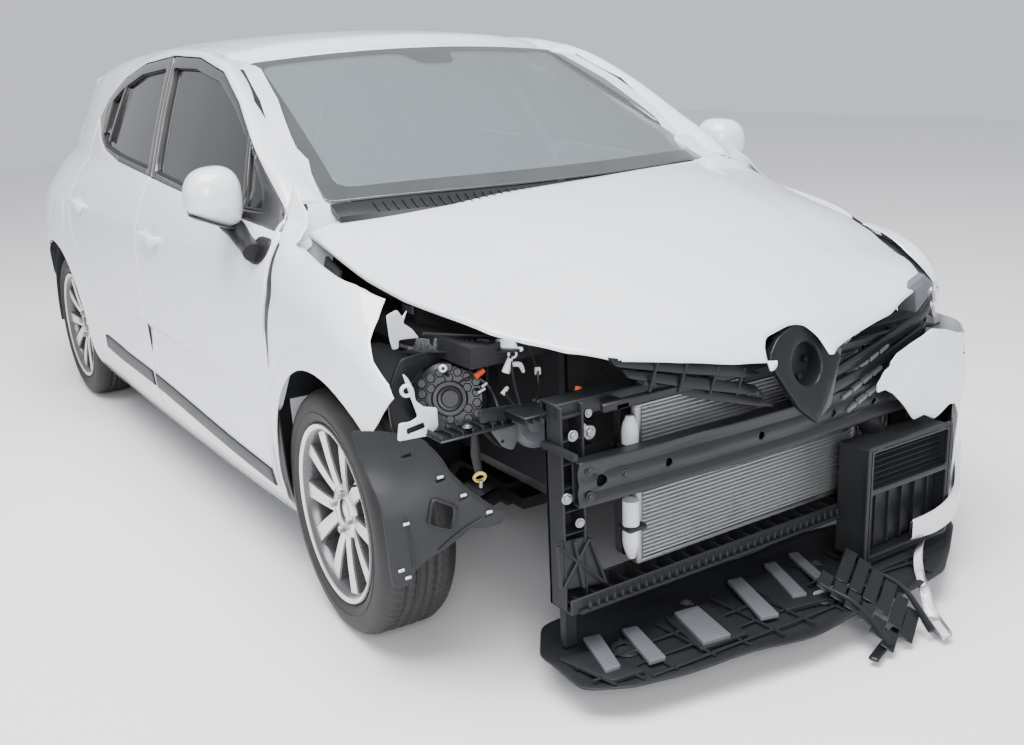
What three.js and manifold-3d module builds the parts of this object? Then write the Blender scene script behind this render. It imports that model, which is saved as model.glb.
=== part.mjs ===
// A white five-door hatchback after a front-end crash: the front bumper, the right headlamp and the badge are gone,
// the radiator and its carrier are bare, the undertray hangs to the ground and the torn right wheel liner sticks out.
// Millimetres, +X forward, +Y to the car's left, +Z up. Inside the car group x = 0 is the front axle.
import * as THREE from "three";
import { mergeVertices } from "three/addons/utils/BufferGeometryUtils.js";
import Module from "manifold-3d";

const wasm = await Module();
wasm.setup();

// Driving dimensions
const WHEELBASE = 2583;
const FRONT_REACH = 960; // from the front axle to the tip of the broken bumper strip
const REAR_REACH = 637; // from the rear axle to the rear bumper's face
const REAR_AXLE = -WHEELBASE;
const AXLE_F = (WHEELBASE + REAR_REACH - FRONT_REACH) / 2; // front axle ahead of the part's origin
const WHEEL_PLANE_F = 754;
const WHEEL_PLANE_R = 747;
const TYRE_R = 303;
const ARCH_FRONT = { x: 0, z: 308, ahead: 382, behind: 318, high: 356 }; // the front arch is pushed in from the front
const ARCH_REAR = { x: REAR_AXLE, z: 308, ahead: 364, behind: 364, high: 364 };
const GAP = 0.4; // between fixed pieces that seat on each other
const SHUT = 10; // shut line round the doors and tailgate
const DOOR_T = 60; // a door from its skin to its inner face
const STEER_AT_REST = -3; // degrees, the front wheels point a little to the right

// Smooth curve through a table whose first column is the parameter; the other columns are the values
function curve(rows) {
  const n = rows.length;
  const slope = (i, k) => (rows[i + 1][k] - rows[i][k]) / (rows[i + 1][0] - rows[i][0]);
  const tangent = (i, k) => {
    if (i === 0) return slope(0, k);
    if (i === n - 1) return slope(n - 2, k);
    const [a, b] = [slope(i - 1, k), slope(i, k)];
    return a * b <= 0 ? 0 : (a + b) / 2;
  };
  return (t) => {
    const x = Math.min(Math.max(t, rows[0][0]), rows[n - 1][0]);
    let i = 0;
    while (i < n - 2 && x > rows[i + 1][0]) i++;
    const h = rows[i + 1][0] - rows[i][0];
    const u = (x - rows[i][0]) / h;
    return rows[i].slice(1).map((_, j) => {
      const k = j + 1;
      const a = (2 * u ** 3 - 3 * u ** 2 + 1) * rows[i][k] + (u ** 3 - 2 * u ** 2 + u) * h * tangent(i, k);
      return a + (-2 * u ** 3 + 3 * u ** 2) * rows[i + 1][k] + (u ** 3 - u ** 2) * h * tangent(i + 1, k);
    });
  };
}

// Body side: half width at station x and height z
const WIDEST = curve([ // x, half width
  [-3215, 540], [-3190, 640], [-3120, 742], [-3000, 812], [-2850, 858], [-2583, 888], [-2200, 884], [-1300, 882],
  [-700, 876], [-300, 866], [0, 874], [250, 868], [400, 838], [520, 785], [620, 705], [720, 580],
]);
const SHOULDER = curve([ // x, height where it starts to turn in, top height, half width there, sharpness
  [-3215, 700, 1015, 560, 2.4], [-2900, 700, 1015, 665, 2.4], [-2600, 700, 1015, 722, 2.5], [-2350, 700, 1015, 752, 2.6],
  [-2100, 700, 1015, 776, 2.6], [-1300, 700, 1015, 801, 2.6], [-1000, 700, 1015, 800, 2.6], [-600, 700, 1015, 788, 2.7],
  [-330, 700, 975, 765, 3], [0, 690, 925, 748, 3.4], [146, 665, 868, 742, 3.8], [360, 600, 760, 660, 4],
]);
const TUCK = curve([[120, 110], [180, 66], [230, 34], [300, 16], [400, 8], [550, 1], [700, 0]]); // z, turned in below
function bodySide(x, z) {
  const [start, top, topHalf, sharp] = SHOULDER(x);
  const t = Math.min(Math.max((z - start) / (top - start), 0), 1);
  const above = Math.max(z - top, 0);
  return WIDEST(x)[0] - TUCK(z)[0] - (WIDEST(x)[0] - topHalf) * t ** sharp - above * 0.4 - above ** 2 * 0.00013;
}

// Bonnet and roof: height at station x and distance y from the centre plane
const BONNET_LINE = curve([[-340, 1034], [-150, 1012], [0, 985], [200, 938], [400, 872], [560, 806], [650, 752], [676, 721], [700, 685]]);
const BONNET_EDGE = curve([ // x, half width, fall from the middle to the edge, rise per mm towards the left
  [-330, 722, 62, 0.041], [0, 712, 103, 0.032], [200, 688, 92, 0.023], [400, 650, 68, 0], [560, 560, 14, 0], [700, 480, 8, 0],
]);
function bonnetTop(x, y) {
  const [half, fall, lean] = BONNET_EDGE(x);
  const ramp = Math.min(Math.max((x - 300) / 250, 0), 1);
  const setBack = 52 * (Math.abs(y) / 553) * ramp;
  return BONNET_LINE(x + setBack)[0] + lean * y - fall * (Math.abs(y) / half) ** 2.6;
}
const BONNET_T = 20;
const ROOF_LINE = curve([[-3000, 1338], [-2800, 1368], [-2300, 1420], [-1800, 1440], [-1400, 1436], [-1100, 1414], [-930, 1386]]);
const roofTop = (x, y) => ROOF_LINE(x)[0] - 34 * (y / 560) ** 2 - 16 * (y / 600) ** 6;
const TAIL_LINE = curve([[620, -3188], [760, -3196], [900, -3170], [1000, -3128], [1100, -3072], [1230, -2985], [1345, -2905]]);
const tailFace = (y, z) => TAIL_LINE(z)[0] + 70 * (Math.abs(y) / 700) ** 3;

// Solids: every shape is a three.js geometry, joined and cut as a closed solid
function solid(geometry) {
  const g = geometry.clone();
  g.deleteAttribute("normal");
  g.deleteAttribute("uv");
  const m = mergeVertices(g, 1e-3);
  const made = new wasm.Manifold(new wasm.Mesh({
    numProp: 3,
    vertProperties: m.attributes.position.array,
    triVerts: new Uint32Array(m.index.array),
  }));
  return made;
}
function geometryOf(manifold) {
  const { vertProperties, triVerts } = manifold.getMesh();
  const g = new THREE.BufferGeometry();
  g.setAttribute("position", new THREE.BufferAttribute(new Float32Array(vertProperties), 3));
  g.setIndex(new THREE.BufferAttribute(new Uint32Array(triVerts), 1));
  g.computeVertexNormals();
  return g;
}
const join = (...parts) => parts.flat().reduce((a, b) => a.add(b));
const cut = (whole, ...parts) => parts.flat().reduce((a, b) => a.subtract(b), whole);

const box = (x0, x1, y0, y1, z0, z1) =>
  solid(new THREE.BoxGeometry(x1 - x0, y1 - y0, z1 - z0).translate((x0 + x1) / 2, (y0 + y1) / 2, (z0 + z1) / 2));
// A round bar between two points, with a radius at each end
function bar(from, to, r0, r1 = r0, sides = 12) {
  const [a, b] = [new THREE.Vector3(...from), new THREE.Vector3(...to)];
  const g = new THREE.CylinderGeometry(r1, r0, a.distanceTo(b), sides);
  g.applyQuaternion(new THREE.Quaternion().setFromUnitVectors(new THREE.Vector3(0, 1, 0), b.clone().sub(a).normalize()));
  return solid(g.translate(...a.clone().add(b).multiplyScalar(0.5).toArray()));
}
// A flat outline of [x, z] points, run along y
function alongY(points, y0, y1) {
  const shape = new THREE.Shape(points.map(([x, z]) => new THREE.Vector2(x, z)));
  const g = new THREE.ExtrudeGeometry(shape, { depth: y1 - y0, bevelEnabled: false });
  return solid(g.rotateX(Math.PI / 2).translate(0, y1, 0));
}
// A flat outline of [x, y] points, run up from z0 to z1
function alongZ(points, z0, z1) {
  const shape = new THREE.Shape(points.map(([x, y]) => new THREE.Vector2(x, y)));
  return solid(new THREE.ExtrudeGeometry(shape, { depth: z1 - z0, bevelEnabled: false }).translate(0, 0, z0));
}
// A flat outline of [y, z] points, run along x
function alongX(points, x0, x1) {
  const shape = new THREE.Shape(points.map(([y, z]) => new THREE.Vector2(y, z)));
  const g = new THREE.ExtrudeGeometry(shape, { depth: x1 - x0, bevelEnabled: false });
  return solid(g.rotateX(Math.PI / 2).rotateZ(Math.PI / 2).translate(x0, 0, 0));
}
// A closed solid between two grids of points, near(u, v) and far(u, v)
function between(near, far, us, vs) {
  const position = [];
  const index = [];
  const layer = us.length * vs.length;
  for (const face of [near, far]) for (const u of us) for (const v of vs) position.push(...face(u, v));
  const at = (i, j, k) => k * layer + i * vs.length + j;
  const quad = (a, b, c, d) => index.push(a, b, c, a, c, d);
  for (let i = 0; i + 1 < us.length; i++)
    for (let j = 0; j + 1 < vs.length; j++) {
      quad(at(i, j, 0), at(i + 1, j, 0), at(i + 1, j + 1, 0), at(i, j + 1, 0));
      quad(at(i, j, 1), at(i, j + 1, 1), at(i + 1, j + 1, 1), at(i + 1, j, 1));
    }
  for (let i = 0; i + 1 < us.length; i++) {
    quad(at(i, 0, 0), at(i, 0, 1), at(i + 1, 0, 1), at(i + 1, 0, 0));
    const j = vs.length - 1;
    quad(at(i, j, 0), at(i + 1, j, 0), at(i + 1, j, 1), at(i, j, 1));
  }
  for (let j = 0; j + 1 < vs.length; j++) {
    quad(at(0, j, 0), at(0, j + 1, 0), at(0, j + 1, 1), at(0, j, 1));
    const i = us.length - 1;
    quad(at(i, j, 0), at(i, j, 1), at(i, j + 1, 1), at(i, j + 1, 0));
  }
  const g = new THREE.BufferGeometry();
  g.setAttribute("position", new THREE.BufferAttribute(new Float32Array(position), 3));
  g.setIndex(index);
  let made = solid(g);
  if (made.volume() < 0) {
    for (let i = 0; i < index.length; i += 3) [index[i], index[i + 1]] = [index[i + 1], index[i]];
    g.setIndex(index);
    made = solid(g);
  }
  return made;
}
const steps = (from, to, count) => Array.from({ length: count + 1 }, (_, i) => from + ((to - from) * i) / count);

// How deep a body side is from its skin to the cabin: sill and posts, windscreen pillar, cant rail
function wallDepth(x, z) {
  const upper = Math.min(Math.max((x + 1150) / 100, 0), 1) * 18 + 90;
  const lower = 118 + 32 * Math.min(Math.max((x + 460) / 30, 0), 1);
  const t = Math.min(Math.max((z - 930) / 90, 0), 1);
  return lower + (upper - lower) * t;
}
// A slab of the body side between two depths under its skin; side is -1 on the right and 1 on the left
const SIDE_X = [-3200, -3130, -3020, -2860, -2583, -2250, -1800, -1300, -1150, -1050, -700, -460, -430, -330, -160, 0, 146, 260, 360, 450];
const SIDE_Z = [150, 200, 260, 340, 620, 760, 860, 930, 975, 1020, 1180, 1410];
const pick = (all, lo, hi) => [lo, ...all.filter((v) => v > lo + 18 && v < hi - 18), hi];
function sideSlab(side, d0, d1, x0 = -3200, x1 = 450, z0 = 150, z1 = 1410) {
  const depth = (d, x, z) => (typeof d === "function" ? d(x, z) : d);
  const skin = (d) => (x, z) => [x, side * (bodySide(x, z) - depth(d, x, z)), z];
  return between(skin(d0), skin(d1), pick(SIDE_X, x0, x1), pick(SIDE_Z, z0, z1));
}
// Everything inside the two body walls, less a gap
function interior(gap = GAP, x0 = -3200, x1 = 450, z0 = 150, z1 = 1410) {
  const at = (side) => (x, z) => [x, side * (bodySide(x, z) - wallDepth(x, z) - gap), z];
  return between(at(-1), at(1), pick(SIDE_X, x0, x1), pick(SIDE_Z, z0, z1));
}
const spanY = (side, near, far) => (side < 0 ? [-far, -near] : [near, far]);
const sideCut = (points, side) => alongY(points, side < 0 ? -1200 : 100, side < 0 ? -100 : 1200);

// Side outlines, [x, z]
function archLine(arch, extra, from, to, count) {
  return steps(from, to, count).map((deg) => {
    const [c, s] = [Math.cos((deg * Math.PI) / 180), Math.sin((deg * Math.PI) / 180)];
    return [arch.x + ((c > 0 ? arch.ahead : arch.behind) + extra) * c, arch.z + (arch.high + extra) * s];
  });
}
// Moves a closed anticlockwise outline outwards by d, or inwards where d is negative
function grow(points, d) {
  const n = points.length;
  return points.map(([x, z], i) => {
    const [ax, az] = points[(i + n - 1) % n];
    const [bx, bz] = points[(i + 1) % n];
    const [e, f] = [Math.hypot(x - ax, z - az), Math.hypot(bx - x, bz - z)];
    const [n1, n2] = [[(z - az) / e, (ax - x) / e], [(bz - z) / f, (x - bx) / f]];
    const k = d / (1 + n1[0] * n2[0] + n1[1] * n2[1]);
    return [x + (n1[0] + n2[0]) * k, z + (n1[1] + n2[1]) * k];
  });
}
const DOOR_FRONT = [ // [x, z] from the lower front corner over the window to the lower rear corner
  [-350, 232], [-345, 400], [-338, 526], [-316, 690], [-286, 800], [-303, 917], [-345, 985], [-560, 1116], [-760, 1236],
  [-950, 1318], [-1200, 1362], [-1456, 1372], [-1396, 1180], [-1334, 1012], [-1335, 232],
];
const DOOR_REAR = [
  [-1345, 232], [-1346, 1012], [-1414, 1180], [-1480, 1372], [-1800, 1352], [-2050, 1302], [-2250, 1224], [-2333, 1160],
  [-2326, 1050], [-2284, 900], [-2226, 760], [-2150, 640], [-2075, 480], [-2010, 330], [-1992, 232],
];
const GLASS_FRONT = [
  [-420, 978], [-480, 1036], [-580, 1122], [-770, 1224], [-955, 1296], [-1200, 1334], [-1432, 1340], [-1375, 1180],
  [-1312, 1022], [-1000, 1002], [-600, 980],
];
const GLASS_REAR = [
  [-1392, 1028], [-1448, 1180], [-1512, 1340], [-1800, 1322], [-2040, 1270], [-2200, 1205], [-2150, 1110], [-2060, 1068],
  [-1800, 1048],
];

// Materials
const finish = (color, roughness, metalness = 0, extra = {}) =>
  new THREE.MeshStandardMaterial({ color, roughness, metalness, ...extra });
const PAINT = finish(0xe9edf4, 0.25);
const BLACK = finish(0x16181b, 0.55);
const STRUCTURE = finish(0x1c1e21, 0.5, 0.3);
const GLASS = finish(0x5d6b72, 0.05, 0, { transparent: true, opacity: 0.4 });
const RUBBER = finish(0x1a1a1b, 0.9);
const ALLOY = finish(0xb9b4b4, 0.35, 0.9);
const STEEL = finish(0x55585b, 0.5, 0.8);
const CLOTH = finish(0x2b2d30, 0.95);
const LENS = finish(0xaab0b4, 0.1, 0, { transparent: true, opacity: 0.6 });
const RED_LENS = finish(0x8a1018, 0.15);
const CORE = finish(0x6a6e70, 0.45, 0.8);

const car = new THREE.Group();
car.position.x = AXLE_F;
function add(name, made, material, into = car) {
  const mesh = new THREE.Mesh(geometryOf(made), material);
  mesh.name = name;
  into.add(mesh);
  return made;
}

// Body sides: sill, pillars, cant rail and rear quarter in one pressing, with stepped door openings
const CANT_TOP = 1400;
const DOOR_STEP = 14; // the seal behind a closed door
const HINGE_FRONT = [-392, 845]; // x and half width of the front door's hinge pins
const HINGE_REAR = [-1390, 865];
const HINGE_LEAVES = [[380, 440], [640, 700]]; // heights of each door's two hinges
// A hinge leaf on the body: a barrel on the pins' line and its arm to the post
const hingeLeaf = (side, [x, y], reach) => HINGE_LEAVES.map(([z0, z1], i) => join(
  bar([x, side * y, z0 + GAP], [x, side * y, z1 - GAP], 12), box(x - 8, x + 8, ...spanY(side, y - reach[i], y), z0 + GAP, z1 - GAP),
  box(x - 8, x + 60, ...spanY(side, y - reach[i] - 2, y - reach[i] + 10), z0 + GAP, z1 - GAP)));
const hingeNotch = (side, [x, y]) => HINGE_LEAVES.map(([z0, z1]) => box(x - 22, x + 75, ...spanY(side, 600, y + 13), z0, z1));
const TAILGATE_T = 45;
const TAIL_HINGE = { x: -2862, z: 1338, y: 300 };
const TAILGATE = [ // [y, z], the right half from the top
  [-484, 1335], [-508, 1230], [-556, 1040], [-546, 960], [-534, 880], [-530, 720], [-520, 652],
];
const tailgateOutline = [...TAILGATE, ...[...TAILGATE].reverse().map(([y, z]) => [-y, z])];
const LAMP_ZONE = [[-3070, 700], [-3050, 760], [-3020, 880], [-2985, 975], [-3200, 985], [-3200, 700]]; // [x, z]
const underRoof = between((x, y) => [x, y, 100], (x, y) => [x, y, roofTop(x, y)],
  steps(-3250, -930, 12), [-950, -700, -620, -540, -300, 0, 300, 540, 620, 700, 950])
  .add(box(-931, 700, -950, 950, 100, 1400));
// The room that a steered front tyre sweeps: [radius about the steering axis, height]
const SWEEP = [[0, 60], [300, 60], [342, 150], [366, 230], [374, 303], [366, 380], [346, 440], [300, 520], [214, 612], [0, 612]];
const wheelSweep = (side) => {
  const turnedUp = new THREE.LatheGeometry(SWEEP.map(([r, z]) => new THREE.Vector2(r, z)), 48).rotateX(Math.PI / 2);
  return solid(turnedUp.translate(-8, side * 652, 0));
};
function bodyFrame(side) {
  const outline = [
    ...archLine(ARCH_FRONT, 26, 152, 196, 4), [-340, 156], [-2205, 156],
    ...archLine(ARCH_REAR, 0, 0, 112, 8), [-2735, 640 + GAP], [-3160, 640 + GAP],
    [-3160, 900], [-3130, 1000], [-3060, 1120], [-2960, 1250], [-2890, 1340],
    [-2500, 1400], [-1800, CANT_TOP + 20], [-1200, CANT_TOP], [-1050, 1352], [-820, 1244], [-600, 1136], [-346, 992],
    [-340, 884], [-180, 846], [-190, 620],
  ];
  const wall = sideSlab(side, 0, wallDepth, -3190, -160).intersect(sideCut(outline, side)).intersect(underRoof);
  const rebate = (points) => sideSlab(side, -20, DOOR_T + DOOR_STEP).intersect(sideCut(grow(points, SHUT), side));
  const pin = ([x, y], r, z0, z1) => bar([x, side * y, z0], [x, side * y, z1], r, r, 20);
  const fenderZone = sideSlab(side, -20, 10 + GAP, -440, 440).intersect(box(-420, 440, ...spanY(side, 300, 1000), 150, 990));
  const wellOuter = alongY(archLine(ARCH_REAR, 14, 0, 180, 14), ...spanY(side, 560, 800));
  const well = cut(
    wellOuter.intersect(interior(-8)), alongY(archLine(ARCH_REAR, 0, -1, 181, 14), ...spanY(side, 574, 900)),
    box(REAR_AXLE - 80, REAR_AXLE + 80, ...spanY(side, 500, 620), 200, 400),
  );
  const lampPocket = sideSlab(side, -20, 90, -3200, -2900).intersect(sideCut(grow(LAMP_ZONE, GAP), side));
  const shell = cut(
    join(wall, well),
    rebate(DOOR_FRONT), rebate(DOOR_REAR), sideCut(grow(DOOR_FRONT, -48), side), sideCut(grow(DOOR_REAR, -48), side),
    pin(HINGE_FRONT, 118, 560, 945), pin(HINGE_FRONT, 84, 221, 561), pin(HINGE_REAR, 86, 221, 1012),
    fenderZone, lampPocket,
    alongX(grow(tailgateOutline, SHUT), -3300, -2700),
  );
  return cut(join(shell, hingeLeaf(side, HINGE_FRONT, [92, 124]), hingeLeaf(side, HINGE_REAR, [92, 92])), wheelSweep(side));
}

// A door: a slab with its window cut out and a handle; the mirror is a piece of its own on the front door
function door(side, outline, pane, pins, handleX, handleZ) {
  const slab = cut(sideSlab(side, 0, DOOR_T).intersect(sideCut(outline, side)), sideCut(pane, side), hingeNotch(side, pins));
  const rect = (x, z, halfX, halfZ) => [[x + halfX, z - halfZ], [x + halfX, z + halfZ], [x - halfX, z + halfZ], [x - halfX, z - halfZ]];
  const on = (d0, d1, x, halfX, halfZ) => sideSlab(side, d0, d1).intersect(sideCut(rect(x, handleZ, halfX, halfZ), side));
  return join(slab, on(-36, -20, handleX, 105, 14), on(-30, 4, handleX + 88, 15, 12), on(-30, 4, handleX - 88, 15, 12));
}
// The front door's edge leans forward of its hinges above, so behind its skin the door is cut back there
const doorNose = (side) => [
  sideSlab(side, 12, DOOR_T + 8).intersect(box(-346, -250, ...spanY(side, 300, 1000), 600, 940)),
  sideSlab(side, 30, DOOR_T + 8).intersect(box(-404, -250, ...spanY(side, 300, 1000), 920, 1010)),
];
// Its rear edge is cut back behind the glass, so that it swings clear of the rear door
const DOOR_TAIL = [[-1318, 225], [-1316, 1012], [-1376, 1180], [-1434, 1368], [-1480, 1380], [-1420, 1180], [-1350, 1012], [-1350, 225]];
const doorTail = (side) => sideSlab(side, 26, DOOR_T + 8).intersect(sideCut(DOOR_TAIL, side));
const doorPane = (side, pane) =>
  sideSlab(side, 18, 23).intersect(sideCut(grow(pane, -GAP), side));

function mirror(side) {
  const shell = between(
    (u, v) => [-470 - 110 * v * (1 - 0.25 * u), side * (790 + 165 * u), 950 + 45 * u + 118 * v ** 0.8 + 12 * Math.sin(Math.PI * u)],
    (u, v) => [-560 - 20 * v, side * (795 + 155 * u), 955 + 40 * u + 108 * v],
    steps(0, 1, 5), steps(0, 1, 5));
  return cut(shell, sideSlab(side, -GAP, 900, -800, -300, 800, 1200));
}

// Fenders: the right one is cut back at the lamp and has slid forward off the door
function fender(side) {
  const slip = side < 0 ? 6 : 0;
  const rear = DOOR_FRONT.slice(0, 6).map(([x, z]) => [x + SHUT + slip, z]).reverse();
  const outline = [
    ...rear, ...archLine(ARCH_FRONT, 0, 198, 46, 14).filter(([x, z]) => z > 236 && x > -318),
    [346, 680], [300, 720], [236, 760], [200, 789], [155, 838], [0, 872], [-150, 904], [-292, 940],
  ];
  return sideSlab(side, 0, 10, -440, 420, 180, 990).intersect(sideCut(outline, side));
}

// Wheels: lathe profiles of [radius, along the axle], turned about y, with the outboard side at negative y
const turned = (points, count) => solid(new THREE.LatheGeometry(points.map(([r, a]) => new THREE.Vector2(r, a)), count));
const SPOKE_PAIRS = 5;
function wheelRim() {
  const barrel = turned([[198, -92], [219, -92], [221, -84], [205, -62], [205, 60], [218, 82], [214, 88], [190, 84], [186, -66], [198, -92]], 24);
  const hub = turned([[0, -58], [62, -58], [76, -40], [76, -12], [66, -12], [66, 10], [129, 10], [129, 30], [0, 30]], 16);
  const spokes = [];
  for (let i = 0; i < SPOKE_PAIRS; i++)
    for (const lean of [-1, 1]) {
      const arm = new THREE.BoxGeometry(34, 26, 146).translate(0, -62, 127).rotateY(lean * 0.16).translate(lean * 20, 0, 0);
      spokes.push(solid(arm.rotateY((i * 2 * Math.PI) / SPOKE_PAIRS)));
    }
  return join(barrel, hub, spokes);
}
const wheelTyre = () => turned([
  [222, -86], [232, -92], [262, -96], [287, -90], [TYRE_R, -62], [TYRE_R, 62], [287, 90],
  [262, 96], [232, 92], [222, 83], [209, 58], [209, -58], [222, -86],
], 24);
const WHEELS = [ // name, axle x, half track, side, degrees steered
  ["front_right", -8, WHEEL_PLANE_F, -1, STEER_AT_REST], ["front_left", -8, WHEEL_PLANE_F, 1, STEER_AT_REST],
  ["rear_right", REAR_AXLE, WHEEL_PLANE_R, -1, 0], ["rear_left", REAR_AXLE, WHEEL_PLANE_R, 1, 0],
];

// Front knuckle with its hub, caliper and spring leg, round the leaning steering axis
const KING_LOW = [672, 178]; // half width and height of the lower ball joint
const KING_TOP = [556, 800];
const kingAt = (side, t) =>
  [WHEELS[0][1], side * (KING_LOW[0] + (KING_TOP[0] - KING_LOW[0]) * t), KING_LOW[1] + (KING_TOP[1] - KING_LOW[1]) * t];
function knuckle(side) {
  const leg = (t0, t1, r, sides = 12) => bar(kingAt(side, t0), kingAt(side, t1), r, r, sides);
  const hub = bar([-8, side * (WHEEL_PLANE_F - 30 - GAP), TYRE_R], [-8, side * 640, TYRE_R], 44, 52);
  const caliper = [[-168, -146, 692, 768], [-168, -98, 750, 768], [-168, -98, 692, 721]]
    .map(([x0, x1, y0, y1]) => box(x0, x1, ...spanY(side, y0, y1), 262, 344));
  const bracket = box(-130, 0, ...spanY(side, 662, 695), 288, 322);
  return join(leg(0, 0.62, 23, 8), leg(0.55, 0.985, 26, 8), leg(0.67, 0.69, 68), leg(0.68, 0.98, 60), hub, bracket, caliper);
}

// Structure under and inside
const SCREEN = { // the windscreen's lower and upper edges, u from -1 on the right to 1 on the left
  low: (u) => [-140 - 199 * Math.abs(u) ** 2.2, 654 * u, 1015 - 18 * u ** 4],
  high: (u) => [-985 - 50 * u * u, 560 * u, 1372 - 27 * u * u],
};
function floorPan() {
  const plates = join(
    box(-2180, -386, -760, -118, 160, 178), box(-2180, -386, 118, 760, 160, 178),
    box(-2180, -386, -132, -118, 160, 300), box(-2180, -386, 118, 132, 160, 300), box(-2180, -386, -132, 132, 286, 300),
    cut(box(-2190, -2172, -760, 760, 160, 430), box(-2230, -2100, -118, 118, 150, 286)), cut(box(-3120, -2180, -553, 553, 416, 430), box(-3080, -2780, -400, 400, 250, 500)),
    cut(box(-3100, -2760, -420, 420, 236, 425), box(-3080, -2780, -400, 400, 250, 500)), box(-3120, -3100, -553, 553, 380, 640),
  );
  return plates.intersect(interior(GAP, -3200, 0, 150, 1410));
}
function engineBay() {
  const sides = [-1, 1].map((side) => join(
    box(-372, 480, ...spanY(side, 400, 470), 400, 500), // rail
    box(-372, 420, ...spanY(side, 466, 482), 400, 790), // inner wing
    box(-120, 110, ...spanY(side, 470, 650), 800 + GAP, 818), // strut tower
    box(-120, -104, ...spanY(side, 470, 650), 700, 818), box(94, 110, ...spanY(side, 470, 650), 700, 818),
    box(-372, 380, ...spanY(side, 640, 676), 716, 762), // upper rail
    box(360, 380, ...spanY(side, 470, 676), 716, 762),
  ));
  const bulkhead = box(-384, -368, -800, 800, 240, 966).intersect(interior());
  const cowl = (sink) => (u, k) => {
    const [x, y, z] = SCREEN.low(u);
    return [[-380, y, 966 - sink], [x - 8, y, z - 14 - sink], [x + 50, y, z - 104 - sink]][k];
  };
  const rests = [-1, 1].map((side) =>
    box(-310, -290, ...spanY(side, 640, 660), 740, Math.min(bonnetTop(-290, side * 660), bonnetTop(-290, side * 640)) - BONNET_T - 2));
  return join(bulkhead, sides, rests, between(cowl(0), cowl(9), steps(-1, 1, 8), [0, 1, 2]).intersect(interior()));
}
function subframe() {
  const arms = [-1, 1].map((side) => join(
    bar([-260, side * 330, 215], [-60, side * 560, 178], 20), bar([-60, side * 330, 215], [-20, side * 560, 178], 20),
    bar([-50, side * 556, 176], [-8, side * 668, 142], 15), bar(kingAt(side, -0.07), kingAt(side, -0.0008), 20, 20),
  ));
  return join(box(-320, -20, -350, 350, 190, 250), box(-20, 60, -350, 350, 205, 235), arms,
    box(-310, -270, -470, -340, 240, 399.6), box(-310, -270, 340, 470, 240, 399.6));
}
function rearAxle() {
  const sides = [-1, 1].map((side) => join(
    box(-2600, -2190 - GAP, ...spanY(side, 470, 520), 262, 320),
    box(-2640, -2526, ...spanY(side, 500, 640), 250, 356),
    bar([REAR_AXLE, side * 630, TYRE_R], [REAR_AXLE, side * (WHEEL_PLANE_R - 30 - GAP), TYRE_R], 50, 44),
    bar([-2500, side * 495, 310], [-2500, side * 495, 416 - GAP], 52), bar([-2665, side * 520, 300], [-2690, side * 520, 408], 16),
    box(-2685, -2600, ...spanY(side, 508, 532), 290, 318),
  ));
  return join(box(-2440, -2380, -500, 500, 268, 318), sides);
}
function frontCarrier() {
  const posts = [-1, 1].map((side) => box(500, 560, ...spanY(side, 520, 580), 196, 655));
  const lampArm = join(box(440, 520, -640, -540, 630, 656), box(440, 456, -690, -600, 604, 720),
    box(386, 456, -800, -620, 600 + GAP, 612), box(470, 504, -600, -560, 560, 656));
  return join(posts, box(500, 580, -580, 580, 196, 232), box(486, 545, -580, 580, 622, 658), lampArm);
}
function crashBeam() {
  const face = between((y, z) => [614 - 20 * (y / 560) ** 2, y, z], (y, z) => [574 - (14 - GAP) * (y / 560) ** 2, y, z],
    steps(-560, 560, 6), [441, 470, 512, 541]);
  const cans = [-1, 1].map((side) => box(480 + GAP, 576, ...spanY(side, 405, 465), 446, 500));
  return join(face, cans);
}
const grille = () => join(
  box(580, 600, -500, 520, 634, 658), box(545 + GAP, 600, -470, -430, 634, 652), box(545 + GAP, 600, 430, 470, 634, 652),
  box(596, 636, -420, -140, 610, 680), box(596, 628, 110, 440, 600, 680),
);
const REMNANT_PLAN = [[300, 866], [360, 850], [430, 826], [500, 796], [560, 745], [600, 690], [626, 630], [640, 560], [648, 470], [652, 380], [654, 270]];
const REMNANT_EDGE = [ // [y, z], what is left of the skin: over the hole, down its outer side and along the lip
  [900, 90], [900, 599], [700, 599], [618, 612], [487, 650], [449, 640], [341, 618], [300, 584], [286, 529], [349, 513], [391, 473],
  [440, 425], [560, 418], [640, 420], [676, 340], [672, 260], [656, 200], [656, 90],
];
function bumperRemnant() {
  const inner = [...REMNANT_PLAN].reverse().map(([x, y]) => [x - 15, y - (y > 640 ? 24 : 4)]);
  const sheet = alongZ([...REMNANT_PLAN, ...inner], 90, 660).intersect(alongX(REMNANT_EDGE, 0, 900));
  const skin = cut(sheet, alongY(archLine(ARCH_FRONT, 4, -60, 90, 10).concat([[0, 0]]), 500, 1000));
  const stay = box(520, 606, 604, 690, 540, 570);
  const strand = [[608, 668, 204], [664, 632, 186], [706, 560, 170], [724, 460, 164], [740, 370, 156], [812, 310, 104], [932, 226, 20]];
  const path = new THREE.CatmullRomCurve3(strand.map((p) => new THREE.Vector3(...p)));
  const section = new THREE.Shape([[-5, -22], [5, -22], [5, 22], [-5, 22]].map((p) => new THREE.Vector2(...p)));
  const strip = solid(new THREE.ExtrudeGeometry(section, { steps: 14, bevelEnabled: false, extrudePath: path }));
  return join(skin, stay, strip).intersect(box(0, 980, 0, 1000, 0, 700));
}
const ductBox = () => cut(box(580 + GAP, 680, 240, 545, 110, 400), box(594, 700, 254, 531, 124, 386));
const TRAY = [
  [400, -540], [511, -621], [661, -618], [723, -538], [764, -329], [806, -71], [791, 393], [640, 640], [538, 720],
  [440, 600],
];
const undertray = () => join(
  cut(alongZ(TRAY, 70, 82), bar([600, -450, 60], [600, -450, 90], 20), bar([700, 60, 60], [700, 60, 90], 20)),
  box(500, 520, -560, -520, 80, 196 - GAP), box(500, 520, 520, 560, 80, 196 - GAP));
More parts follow.
